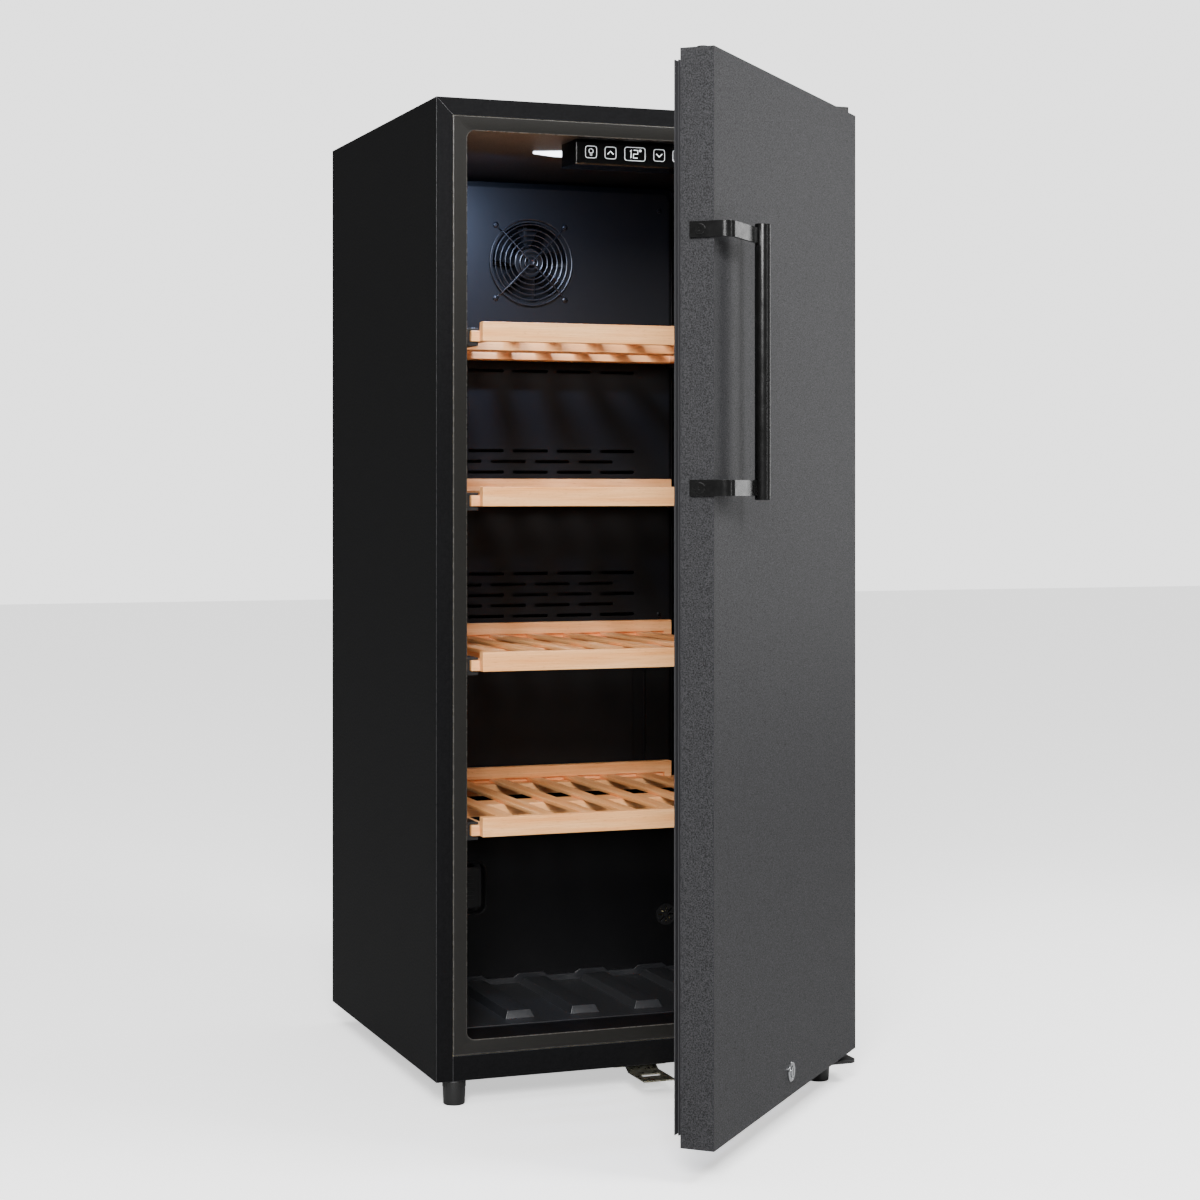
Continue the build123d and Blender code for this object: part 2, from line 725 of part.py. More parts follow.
# Drain grille: a round insert with radial slots.
with BuildPart() as drain_grille:
    round_bar(upright(hump_front), (grille_x, grille_z), grille_radius, 1.5)
    round_bar(upright(hump_front), (grille_x, grille_z), grille_neck, -grille_depth)
    grille_plane = Plane((grille_x, front_y + hump_front, grille_z), z_dir=(0, -1, 0))
    with BuildSketch(grille_plane):
        with PolarLocations(8, 8):
            SlotOverall(8, 2.2)
    extrude(amount=2, both=True, mode=Mode.SUBTRACT)
    behind = upright(hump_front + grille_depth)
    round_bar(behind, (grille_x, grille_z), grille_neck - 1.5, grille_depth - 1.5, Mode.SUBTRACT)
save(drain_grille, "drain_grille")

# ==== machine bay ===========================================================================
comp_x = -50.0
comp_y = (bay_front + cabinet_depth) / 2
comp_radius = 70.0
comp_low = pan_top + 13.0
comp_high = bay_top - 72.0
rail_offset = 80.0
mount_y = 42.0

# Compressor: a welded steel pot on two feet, with three pipe stubs.
with BuildPart() as compressor:
    round_bar(level(comp_low + 3), (comp_x, comp_y), comp_radius, comp_high - comp_low - 3)
    fillet(compressor.edges().filter_by(GeomType.CIRCLE).sort_by(Axis.Z)[-1], 34)
    fillet(compressor.edges().filter_by(GeomType.CIRCLE).sort_by(Axis.Z)[0], 10)
    for sign in (-1, 1):
        foot_mid = comp_y + sign * mount_y
        low = (comp_x - rail_offset - 14, foot_mid - 14)
        block(level(comp_low), low, (comp_x + rail_offset + 14, foot_mid + 14), 3, radius=10)
    for x in (-rail_offset, rail_offset):
        for y in (-mount_y, mount_y):
            round_bar(level(comp_low), (comp_x + x, comp_y + y), 5, 3, Mode.SUBTRACT)
    for z in (comp_low + 60, comp_low + 85):
        round_bar(side(comp_x - comp_radius - 14), (comp_y, z), 5, 30)
save(compressor, "compressor")

# Rubber mounts under the compressor feet, with their studs' collars.
with BuildPart() as compressor_mounts:
    for x in (-rail_offset, rail_offset):
        for y in (-mount_y, mount_y):
            round_bar(level(pan_top), (comp_x + x, comp_y + y), 11, comp_low - pan_top)
            round_bar(level(comp_low), (comp_x + x, comp_y + y), 4.8, 8)
save(compressor_mounts, "compressor_mounts")

# Relay box: the start relay and overload under a clipped cover.
with BuildPart() as relay_box:
    low = (comp_x + comp_radius - 14, comp_y - 24)
    high = (comp_x + comp_radius + 32, comp_y + 24)
    block(level(comp_low + 40), low, high, 62)
    round_bar(level(comp_low), (comp_x, comp_y), comp_radius, 150, Mode.SUBTRACT)
save(relay_box, "relay_box")

# Evaporation tray: catches the melt water over the warm compressor.
with BuildPart() as evaporation_tray:
    low, high = (comp_x - 78, comp_y - 58), (comp_x + 78, comp_y + 58)
    block(level(comp_high), low, high, 26, radius=12)
    low, high = (low[0] + 2, low[1] + 2), (high[0] - 2, high[1] - 2)
    block(level(comp_high + 2), low, high, 24, Mode.SUBTRACT, radius=10)
save(evaporation_tray, "evaporation_tray")

stub_x = comp_x - comp_radius - 14
pipe_y = front_y + comp_y
pipe_z = comp_low + 60

# Refrigerant pipes: suction and discharge lines, and the filter drier on the discharge line.
with BuildPart() as refrigerant_pipes:
    high = (stub_x, pipe_y, pipe_z + 25)
    tube([high, (stub_x - 45, pipe_y, high[2]), (stub_x - 45, pipe_y, bay_top)], 3.5, 18)
    low = (stub_x, pipe_y, pipe_z)
    tube([low, (stub_x - 85, pipe_y, pipe_z), (stub_x - 85, pipe_y, pipe_z + 60)], 3, 18)
    round_bar(level(pipe_z + 60), (stub_x - 85, comp_y), 9, 70)
    round_bar(level(pipe_z + 130), (stub_x - 85, comp_y), 2, bay_top - pipe_z - 130)
save(refrigerant_pipes, "refrigerant_pipes")

inlet_x = shell_x - 60.0
inlet_z = pan_top + 32.0

# Power inlet: a socket on a folded bracket in the corner of the bay.
with BuildPart() as power_inlet:
    back = cabinet_depth - 8.0
    block(upright(back), (inlet_x - 30, pan_top), (inlet_x + 30, inlet_z + 24), 1.5)
    block(level(pan_top), (inlet_x - 30, back - 24), (inlet_x + 30, back - 1.5), 1.5)
    block(upright(back), (inlet_x - 24, inlet_z - 14), (inlet_x + 24, inlet_z + 14), -4, radius=4)
    block(upright(back - 1.5), (inlet_x - 15, inlet_z - 11), (inlet_x + 15, inlet_z + 11), 20)
    low, high = (inlet_x - 12, inlet_z - 8), (inlet_x + 12, inlet_z + 8)
    block(upright(back + 4), low, high, 18, Mode.SUBTRACT, radius=3)
    for x in (-7, 0, 7):
        round_bar(upright(back - 14), (inlet_x + x, inlet_z), 1.6, -12)
save(power_inlet, "power_inlet")

# ==== feet ==================================================================================
right_foot_x = hinge_x - 27.5
right_foot_y = hinge_y - 5.0
bracket_low = bottom_z - plate


def foot(x, y, height):
    """A levelling foot: a slightly conical pad on a threaded stud."""
    with BuildPart() as piece:
        with BuildSketch(level(0)):
            with Locations((x, y)):
                Circle(foot_base)
        with BuildSketch(level(height)):
            with Locations((x, y)):
                Circle(foot_radius)
        loft()
        round_bar(level(height), (x, y), stud_radius, stud_length - 4)
    return piece


save(foot(-foot_x, foot_y, bottom_z), "front_foot_left")
save(foot(right_foot_x, right_foot_y, bracket_low), "front_foot_right")

# Rear feet: fixed pads under the back of the base.
with BuildPart() as rear_feet:
    for sign in (-1, 1):
        centre = (sign * (half_width - 60), cabinet_depth - 50)
        round_bar(level(0), centre, 17, bottom_z)
        round_bar(level(bottom_z - 6), centre, 22, 6)
save(rear_feet, "rear_feet")

# ==== hinges ================================================================================
bracket_left = right_foot_x - 17.0
bracket_front = hinge_y - 40.0
bracket_back = 60.0

# Lower hinge: a plate screwed under the cabinet, with the pin and a spacer for the door.
with BuildPart() as lower_hinge:
    low, high = (bracket_left, bracket_front), (half_width - 1, bracket_back)
    block(level(bracket_low), low, high, plate, radius=12)
    round_bar(level(bottom_z), (hinge_x, hinge_y), pin_radius, door_lift + cap_thickness - 2)
    round_bar(level(bottom_z), (hinge_x, hinge_y), 9, door_lift - clearance)
    foot_centre = (right_foot_x, right_foot_y)
    round_bar(level(bracket_low), foot_centre, stud_radius + run_fit, plate, Mode.SUBTRACT)
save(lower_hinge, "lower_hinge")

hinge_left = 24.0  # hinge plate left of the axis
hinge_right = 10.0  # and right of it
hinge_front = 13.0  # and in front of it
hinge_back = 36.0  # where it ends on the cabinet's top
over_door = 3.0
top_plate = 3.0

# Upper hinge: a plate on the cabinet's top, stepped up over the door, with the pin below it.
with BuildPart() as upper_hinge:
    front = hinge_y - hinge_front
    step = top_z + over_door
    outline = [
        (front, step),
        (front, step + top_plate),
        (12, step + top_plate),
        (12, top_z + top_plate),
        (hinge_back, top_z + top_plate),
        (hinge_back, top_z),
        (9, top_z),
        (9, step),
    ]
    prism(side(hinge_x - hinge_left), outline, hinge_left + hinge_right)
    round_bar(level(step), (hinge_x, hinge_y), pin_radius, 2 - over_door - cap_thickness)
save(upper_hinge, "upper_hinge")

# Hinge cap: a plastic cover over the upper hinge.
with BuildPart() as hinge_cap:
    gap = 1.0
    wall = 1.5
    cap_high = top_z + over_door + top_plate + 4.0
    low = (hinge_x - hinge_left - gap, hinge_y - hinge_front - gap)
    high = (hinge_x + hinge_right + gap, hinge_back + gap)
    outer_low = (low[0] - wall, low[1] - wall)
    outer_high = (high[0] + wall, high[1] + wall)
    block(level(cap_high), outer_low, outer_high, top_z - cap_high, radius=5)
    block(level(cap_high - wall), low, high, top_z - cap_high, Mode.SUBTRACT, radius=3)
    block(level(top_z + 1.3), outer_low, (outer_high[0], 0), -1.3, Mode.SUBTRACT)
save(hinge_cap, "hinge_cap")

# Plug: closes the spare hinge hole on the left of the cabinet's top.
with BuildPart() as top_plug:
    round_bar(level(top_z), (28.5 - half_width, 20), 8, 2)
    fillet(top_plug.edges().filter_by(GeomType.CIRCLE).sort_by(Axis.Z)[-1], 1.2)
save(top_plug, "top_plug")

cam_front = -4.0  # lock cam inside the door, measured from the hinge axis
cam_thick = 3.0
keeper_x = 21.0
tongue_low = bottom_z - 7.0

# Lock keeper: a plated steel bracket under the cabinet, its slotted tongue under the door.
with BuildPart() as lock_keeper:
    block(level(bottom_z - 2), (-36, 6), (36, 26), 2, radius=3)
    outline = [
        (8, bottom_z),
        (8, bottom_z - 2),
        (4, bottom_z - 2),
        (-6, tongue_low),
        (hinge_y - 33, tongue_low),
        (hinge_y - 33, tongue_low + 2),
        (-5, tongue_low + 2),
        (5, bottom_z),
    ]
    prism(side(0), outline, keeper_x, both=True)
    cam_middle = hinge_y + cam_front + cam_thick / 2
    low, high = (-13, cam_middle - 6), (13, cam_middle + 6)
    block(level(tongue_low - 1), low, high, 5, Mode.SUBTRACT, radius=3)
    for x in (-29, 29):
        round_bar(level(bottom_z - 2), (x, 16), 2.2, 2, Mode.SUBTRACT)
save(lock_keeper, "lock_keeper")

# ==== door ==================================================================================
door_height = door_high - door_low
skin_lip = 9.0
inner_panel = 1.5
lock_x = -hinge_x  # the door's middle
arm_levels = (door_high - handle_drop, door_high - handle_drop - handle_spacing)
screw_y = door_outer + 15.0
screw_radius = 2.4
screw_reach = 15.0  # handle screw beyond the arm
pocket_low = (lock_x - cam_length - 3, door_low)
pocket_high = (lock_x + 11, lock_z + 11)
pocket_front = cam_front - 1.5
pocket_depth = cam_thick + 3


def door_holes(sleeve):
    """Cuts the lock's bore, the cam's pocket and the handle's screw holes from the open piece."""
    reach = door_outer - cam_front
    round_bar(door_upright(door_outer), (lock_x, lock_z), sleeve, reach, Mode.SUBTRACT)
    block(door_upright(pocket_front), pocket_low, pocket_high, -pocket_depth, Mode.SUBTRACT)
    for z in arm_levels:
        reach = screw_reach + 1
        round_bar(door_side(door_left), (screw_y, z), screw_radius, reach, Mode.SUBTRACT)


# Door skin: one folded painted sheet, its edges turned in at the back.
with BuildPart() as door_skin:
    low, high = (door_left, door_outer), (door_right, door_inner)
    block(door_level(door_low), low, high, door_height)
    low = (door_left + sheet, door_outer + sheet)
    high = (door_right - sheet, door_inner - sheet)
    block(door_level(door_low), low, high, door_height, Mode.SUBTRACT)
    low = (door_left + skin_lip, door_inner - sheet)
    high = (door_right - skin_lip, door_inner)
    block(door_level(door_low), low, high, door_height, Mode.SUBTRACT)
    door_holes(lock_sleeve)
save(door_skin, "door_skin")

inside_left = door_left + sheet
inside_right = door_right - sheet
inside_front = door_outer + sheet
inside_back = door_inner - sheet
panel_front = inside_back - inner_panel

# End caps: moulded plastic, closing the door's top and bottom and holding the hinge pins.
with BuildPart() as door_end_caps:
    low, high = (inside_left, inside_front), (inside_right, inside_back)
    for z in (door_low, door_high - cap_thickness):
        block(door_level(z), low, high, cap_thickness)
        round_bar(door_level(z), (0, 0), pin_radius + run_fit, cap_thickness, Mode.SUBTRACT)
    door_holes(lock_sleeve)
save(door_end_caps, "door_end_caps")

# Inner panel: a flat plastic sheet behind the insulation, which the seal clips into.
with BuildPart() as door_inner_panel:
    low = (inside_left, door_low + cap_thickness)
    high = (inside_right, door_high - cap_thickness)
    block(door_upright(inside_back), low, high, inner_panel)
    low = (door_left + skin_lip + clearance, door_low + cap_thickness)
    high = (door_right - skin_lip - clearance, door_high - cap_thickness)
    block(door_upright(inside_back), low, high, -sheet)
save(door_inner_panel, "door_inner_panel")

# Door insulation.
with BuildPart() as door_foam:
    low, high = (inside_left, inside_front), (inside_right, panel_front)
    block(door_level(door_low + cap_thickness), low, high, door_height - 2 * cap_thickness)
    door_holes(lock_sleeve)
save(door_foam, "door_foam")

seal_left = door_left + seal_inset
seal_right = door_right - seal_inset
seal_low = door_low + seal_inset
seal_high = door_high - seal_inset
seal_depth = door_gap - clearance
groove_start = 3.5  # groove from the door's inner face
seal_groove = 3.0  # and its width
groove_in = 5.0  # and how deep it is cut

# Seal: four magnetic profiles welded at mitred corners, each with a groove along its sides.
corners = [
    ((seal_left, seal_low), (1, 1)),
    ((seal_right, seal_low), (-1, 1)),
    ((seal_right, seal_high), (-1, -1)),
    ((seal_left, seal_high), (1, -1)),
]
with BuildPart() as door_seal:
    for i in range(4):
        (x0, z0), (sx0, sz0) = corners[i]
        (x1, z1), (sx1, sz1) = corners[(i + 1) % 4]
        mitre = [
            (x0, z0),
            (x1, z1),
            (x1 + sx1 * seal_width, z1 + sz1 * seal_width),
            (x0 + sx0 * seal_width, z0 + sz0 * seal_width),
        ]
        prism(door_upright(door_inner), mitre, -seal_depth)
    with BuildPart(mode=Mode.PRIVATE) as groove:
        plane = door_upright(door_inner + groove_start)
        low, high = (seal_left - 1, seal_low - 1), (seal_right + 1, seal_high + 1)
        block(plane, low, high, -seal_groove)
        low = (seal_left + groove_in, seal_low + groove_in)
        high = (seal_right - groove_in, seal_high - groove_in)
        block(plane, low, high, -seal_groove, Mode.SUBTRACT)
    add(groove.part, mode=Mode.SUBTRACT)
save(door_seal, "door_seal")

# Plug in the door's spare hinge hole, at its free edge.
with BuildPart() as door_plug:
    round_bar(door_level(door_high), (door_left + 12.5, -5), 7.5, 2.4)
    fillet(door_plug.edges().filter_by(GeomType.CIRCLE).sort_by(Axis.Z)[-1], 1.6)
save(door_plug, "door_plug")

bar_x = door_left + handle_reach
bar_y = door_outer - handle_out
arm_left = door_left - arm_thick
arm_face = door_outer - arm_out
arm_end = bar_x - bar_radius + 3.0

# Handle arms: two flat bars bent from the door's free edge round to the front.
with BuildPart() as handle_arms:
    for z in arm_levels:
        with BuildSketch(door_level(z)):
            with BuildLine():
                FilletPolyline(
                    (arm_left + arm_thick / 2, door_outer + arm_grip),
                    (arm_left + arm_thick / 2, arm_face + arm_thick / 2),
                    (arm_end, arm_face + arm_thick / 2),
                    radius=10,
                )
            trace(line_width=arm_thick)
        extrude(amount=arm_height / 2, both=True)
        round_bar(door_side(arm_left), (screw_y, z), screw_radius, arm_thick, Mode.SUBTRACT)
    low = (arm_left - 1, door_outer + arm_grip)
    high = (door_left + 1, door_outer + arm_grip + 5)
    block(door_level(0), low, high, door_high, Mode.SUBTRACT)
    low = (arm_end, arm_face - 1)
    block(door_level(0), low, (arm_end + 5, door_outer), door_high, Mode.SUBTRACT)
save(handle_arms, "handle_arms")

# Handle bar: a round tube, slotted for the arms' ends and closed by end discs.
with BuildPart() as handle_bar:
    bar_low = arm_levels[1] - arm_height / 2 - bar_over
    bar_high = arm_levels[0] + arm_height / 2 + bar_over
    round_bar(door_level(bar_low), (bar_x, bar_y), bar_radius, bar_high - bar_low)
    ends = handle_bar.edges().filter_by(GeomType.CIRCLE)
    fillet(ends, 0.8)
    add(handle_arms.part, mode=Mode.SUBTRACT)
save(handle_bar, "handle_bar")

# Handle screws, each under a flat round cover.
with BuildPart() as handle_screws:
    for z in arm_levels:
        round_bar(door_side(arm_left), (screw_y, z), 6.2, -1.4)
        round_bar(door_side(arm_left), (screw_y, z), screw_radius, arm_thick + screw_reach)
save(handle_screws, "handle_screws")

lock_proud = 2.5
collar_radius = 12.0

# Lock housing: a chromed collar on the door's face with a sleeve through the skin.
with BuildPart() as lock_housing:
    round_bar(door_upright(door_outer), (lock_x, lock_z), collar_radius, lock_proud)
    sleeve_depth = pocket_front - door_outer
    round_bar(door_upright(door_outer), (lock_x, lock_z), lock_sleeve, -sleeve_depth)
    bore = lock_radius + run_fit
    start = door_upright(door_outer - lock_proud)
    round_bar(start, (lock_x, lock_z), bore, -sleeve_depth - lock_proud, Mode.SUBTRACT)
save(lock_housing, "lock_housing")

# Lock cylinder: turns in the housing, with a keyway in its face.
with BuildPart() as lock_cylinder:
    face = door_outer - lock_proud - 0.6
    round_bar(door_upright(face), (lock_x, lock_z), lock_radius, face - cam_front)
    low, high = (lock_x - 0.9, lock_z - 4.5), (lock_x + 0.9, lock_z + 4.5)
    block(door_upright(face), low, high, -7, Mode.SUBTRACT)
save(lock_cylinder, "lock_cylinder")

# Lock cam: lies level in its pocket when unlocked and swings down through the keeper to lock.
with BuildPart() as lock_cam:
    plane = door_upright(cam_front)
    low, high = (lock_x - cam_length, lock_z - 6), (lock_x + 7, lock_z + 6)
    block(plane, low, high, -cam_thick, radius=5.5)
save(lock_cam, "lock_cam")
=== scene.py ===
import json
import math

import bmesh
import bpy
from mathutils import Matrix, Vector


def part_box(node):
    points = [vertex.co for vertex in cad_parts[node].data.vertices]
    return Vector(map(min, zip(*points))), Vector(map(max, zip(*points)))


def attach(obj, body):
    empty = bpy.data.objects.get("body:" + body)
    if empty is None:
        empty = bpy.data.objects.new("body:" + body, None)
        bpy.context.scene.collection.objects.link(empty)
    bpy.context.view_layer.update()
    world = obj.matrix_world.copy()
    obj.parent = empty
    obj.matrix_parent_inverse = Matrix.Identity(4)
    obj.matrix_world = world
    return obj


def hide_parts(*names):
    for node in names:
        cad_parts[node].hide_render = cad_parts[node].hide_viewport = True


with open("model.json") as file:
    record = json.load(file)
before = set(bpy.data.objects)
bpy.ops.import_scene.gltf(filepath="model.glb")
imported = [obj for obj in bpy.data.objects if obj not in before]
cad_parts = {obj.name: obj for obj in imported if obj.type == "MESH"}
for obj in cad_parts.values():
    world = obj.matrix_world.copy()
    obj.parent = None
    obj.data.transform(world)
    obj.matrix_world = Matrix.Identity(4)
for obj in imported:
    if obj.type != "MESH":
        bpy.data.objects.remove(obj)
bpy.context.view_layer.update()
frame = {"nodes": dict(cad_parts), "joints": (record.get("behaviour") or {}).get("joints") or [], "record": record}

# ---------------------------------------------------------------------------------------------
# Cabinet shell: two side panels and a top panel of cold-rolled steel with folded front edges,
# mitred at the corners, over a base pan with a front skirt. All are powder coated black.
# ---------------------------------------------------------------------------------------------
mm = 0.001


def linear(code):
    """An sRGB hex colour as linear red, green, blue and alpha."""
    values = [int(code[i:i + 2], 16) / 255 for i in (1, 3, 5)]
    return [v / 12.92 if v <= 0.04045 else ((v + 0.055) / 1.055) ** 2.4 for v in values] + [1.0]


def add(tree, kind, links=None, **settings):
    """Adds a node, sets it up, and gives its inputs a value or a link."""
    node = tree.nodes.new(kind)
    for name, value in settings.items():
        setattr(node, name, value)
    for name, value in (links or {}).items():
        if isinstance(value, bpy.types.NodeSocket):
            tree.links.new(value, node.inputs[name])
        else:
            node.inputs[name].default_value = value
    return node


def surface(name, **fixed):
    """A new material with one shader, whose fixed values are set on its own sockets.

    A socket whose name has spaces is given with underscores for them.
    """
    material = bpy.data.materials.new(name)
    material.use_nodes = True
    tree = material.node_tree
    tree.nodes.clear()
    values = {socket.replace("_", " "): value for socket, value in fixed.items()}
    shader = add(tree, "ShaderNodeBsdfPrincipled", values)
    add(tree, "ShaderNodeOutputMaterial", {"Surface": shader.outputs["BSDF"]})
    return material, tree, shader


def grain(tree, size, stretch=(1, 1, 1), detail=2.0):
    """Noise on object coordinates whose grains are about size metres across, before stretching."""
    place = add(tree, "ShaderNodeTexCoord")
    scale = [1 / (size * s) for s in stretch]
    mapped = add(tree, "ShaderNodeMapping", {"Vector": place.outputs["Object"], "Scale": scale})
    return add(tree, "ShaderNodeTexNoise", {
        "Vector": mapped.outputs["Vector"], "Scale": 1.0, "Detail": detail, "Roughness": 0.55})


def ramp(tree, source, low, high, start=0.0, end=1.0):
    """Takes a 0 to 1 pattern from one colour to another."""
    band = add(tree, "ShaderNodeValToRGB", {"Fac": source})
    first, last = band.color_ramp.elements
    first.position, first.color = start, low
    last.position, last.color = end, high
    return band.outputs["Color"]


def spread(tree, source, low, high):
    """Takes a 0 to 1 pattern to numbers from low to high."""
    return add(tree, "ShaderNodeMapRange", {
        "Value": source, "From Min": 0.3, "From Max": 0.7, "To Min": low, "To Max": high},
    ).outputs["Result"]


def relief(tree, shader, source, depth, strength):
    """Raises the surface by a pattern, depth metres at most."""
    bump = add(tree, "ShaderNodeBump", {
        "Height": source, "Distance": depth, "Strength": strength})
    tree.links.new(bump.outputs["Normal"], shader.inputs["Normal"])


def mottled(name, size, colours, roughness, span=(0.0, 1.0), height=0.0, strength=1.0,
            stretch=(1, 1, 1), **fixed):
    """A material whose colour, roughness and relief follow one grain, size metres across."""
    material, tree, shader = surface(name, **fixed)
    pattern = grain(tree, size, stretch).outputs["Fac"]
    low, high = (linear(code) for code in colours)
    tree.links.new(ramp(tree, pattern, low, high, *span), shader.inputs["Base Color"])
    tree.links.new(spread(tree, pattern, *roughness), shader.inputs["Roughness"])
    if height:
        relief(tree, shader, pattern, height, strength)
    return material


# Powder coat on steel: an even satin black with a faint orange peel about 1.5 mm across.
# It is drawn at 2.5 mm, because the real size is too fine to show.
powder_coat = mottled(
    "powder_coated_steel_black", 2.5 * mm, ("#0e0e0f", "#131314"), (0.5, 0.6), span=(0.3, 0.7),
    height=0.04 * mm, IOR=1.5, Specular_IOR_Level=0.04)

# The bevelled edges of the folds are painted paler, a painted highlight, and are glossier.
edge_highlight_coat = mottled(
    "powder_coat_painted_edge_highlight", 8 * mm, ("#2c2c2d", "#3c3c3e"), (0.25, 0.35), span=(0.3, 0.7),
    IOR=1.5)

body_of_node = {}
for body, names in frame["record"]["behaviour"]["bodies"].items():
    for name in names:
        body_of_node[name] = body


def show(obj, material, nodes):
    """Finishes a piece that stands for CAD nodes: material, body, slot and the nodes it hides."""
    if obj.data.materials[:1] != [material]:
        obj.data.materials.clear()
        obj.data.materials.append(material)
    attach(obj, body_of_node[nodes[0]])
    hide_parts(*nodes)
    return obj


sharp_fold = math.radians(35)


def settle(obj):
    """Turns an object with modifiers into a plain mesh."""
    graph = bpy.context.evaluated_depsgraph_get()
    mesh = bpy.data.meshes.new_from_object(obj.evaluated_get(graph))
    obj.modifiers.clear()
    obj.data = mesh
    return obj


def eased(name, material, radius, segments=2, corner=35, edge=None):
    """A copy of a CAD piece with its sharp edges eased by a small radius, as real edges are."""
    mesh = frame["nodes"][name].data.copy()
    work = bmesh.new()
    work.from_mesh(mesh)
    bmesh.ops.remove_doubles(work, verts=work.verts, dist=0.02 * mm)
    bmesh.ops.dissolve_limit(
        work, angle_limit=math.radians(0.5), verts=work.verts, edges=work.edges)
    work.to_mesh(mesh)
    work.free()
    mesh.shade_smooth()
    mesh.set_sharp_from_angle(angle=sharp_fold)
    obj = bpy.data.objects.new(name + "_eased", mesh)
    bpy.context.collection.objects.link(obj)
    if radius:
        bevel = obj.modifiers.new("eased edges", "BEVEL")
        bevel.width = radius
        bevel.segments = segments
        bevel.limit_method = "ANGLE"
        bevel.angle_limit = math.radians(corner)
        bevel.harden_normals = True
        # An edge material, where given, goes on the bevel faces; here it is always a painted highlight.
        bevel.material = 1 if edge else -1
        if edge:
            mesh.materials.clear()
            mesh.materials.append(material)
            mesh.materials.append(edge)
        settle(obj)
    return show(obj, material, [name])


def coat(name, material):
    """Gives a CAD piece whose shape is right its material."""
    for slot in frame["nodes"][name].material_slots:
        slot.material = material


for name in ("side_panel_left", "side_panel_right", "top_panel", "base_pan"):
    eased(name, powder_coat, 0.9 * mm, 3, edge=edge_highlight_coat)

# ---------------------------------------------------------------------------------------------
# Liner: the inside of the cabinet, vacuum formed from one sheet of dark polystyrene. Its flat front
# rim is taupe and glossy; inside, the grained sheet is painted near black, a painted shade.
# ---------------------------------------------------------------------------------------------
liner_sheet = mottled(
    "formed_polystyrene_taupe", 1.2 * mm, ("#171614", "#1d1c1a"), (0.3, 0.4), span=(0.3, 0.7),
    height=0.03 * mm, IOR=1.55, Specular_IOR_Level=0.25)

# The inside of the liner is painted near black, a painted shade for the dark inside of the cabinet.
liner_painted_shade = mottled(
    "formed_polystyrene_grained_painted_shade", 1.4 * mm, ("#08080a", "#0c0c0e"), (0.38, 0.5),
    span=(0.3, 0.7), height=0.05 * mm, IOR=1.55, Specular_IOR_Level=0.2)

# The rim's rounded edges are painted paler, a painted highlight where they catch the light.
rim_edge_highlight = mottled(
    "formed_polystyrene_taupe_painted_highlight", 9 * mm, ("#3b3936", "#494743"), (0.22, 0.32), span=(0.3, 0.7),
    IOR=1.55)
liner = eased("liner", liner_sheet, 1.2 * mm, 3, edge=rim_edge_highlight)
liner.data.materials.append(liner_painted_shade)
rim_depth = 2 * mm
rim_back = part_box("liner")[0][1] + rim_depth
# Faces behind the rim take the near-black inside material, which is painted shade.
for face in liner.data.polygons:
    if face.center.y > rim_back:
        face.material_index = 2

# ---------------------------------------------------------------------------------------------
# Air duct: a shallow moulded cover with rows of slots, and a plain panel below it. Both are
# black polystyrene and are screwed to the liner's back.
# ---------------------------------------------------------------------------------------------
duct_sheet = mottled(
    "moulded_polystyrene_black", 1.0 * mm, ("#0f0f10", "#151516"), (0.38, 0.48), span=(0.3, 0.7),
    height=0.03 * mm, IOR=1.55, Specular_IOR_Level=0.25)
eased("evaporator_cover", duct_sheet, 0.9 * mm, 3)
eased("lower_duct_panel", duct_sheet, 0.5 * mm)

# ---------------------------------------------------------------------------------------------
# Evaporator: a roll-bond plate of aluminium behind the duct cover. It is painted near black and dull,
# a painted shade that keeps the duct cover's slots dark.
# ---------------------------------------------------------------------------------------------
evaporator_painted_shade = mottled(
    "aluminium_painted_shade_black", 0.6 * mm, ("#0b0b0c", "#131314"), (0.5, 0.65), stretch=(40, 1, 1),
    IOR=1.55)
coat("evaporator_plate", evaporator_painted_shade)

# ---------------------------------------------------------------------------------------------
# Fan: a square glass-filled nylon frame with an impeller on its motor shaft, behind a guard of
# welded wire rings on four arms. The wire is plated and dipped black.
# ---------------------------------------------------------------------------------------------
fan_nylon = mottled("moulded_nylon_black", 0.8 * mm, ("#0b0b0b", "#121213"), (0.3, 0.4), IOR=1.53)
coat("fan_housing", fan_nylon)
eased("fan_impeller", fan_nylon, 0)

guard_wire = mottled("dipped_steel_wire", 1.5 * mm, ("#131416", "#1d1e21"), (0.28, 0.4), IOR=1.5)


def tree_with(name, sockets):
    """A new Geometry Nodes tree with named inputs: (name, kind, default)."""
    group = bpy.data.node_groups.new(name, "GeometryNodeTree")
    group.interface.new_socket("Geometry", in_out="INPUT", socket_type="NodeSocketGeometry")
    group.interface.new_socket("Geometry", in_out="OUTPUT", socket_type="NodeSocketGeometry")
    for label, kind, default in sockets:
        socket = group.interface.new_socket(label, in_out="INPUT", socket_type="NodeSocket" + kind)
        if default is not None:
            socket.default_value = default
    inputs = add(group, "NodeGroupInput").outputs
    return group, inputs


def close_tree(group, geometry, material):
    """Ends a tree: instances made real, then the material."""
    real = add(group, "GeometryNodeRealizeInstances", {"Geometry": geometry})
    painted = add(group, "GeometryNodeSetMaterial", {
        "Geometry": real.outputs["Geometry"], "Material": material})
    add(group, "NodeGroupOutput", {"Geometry": painted.outputs["Geometry"]})


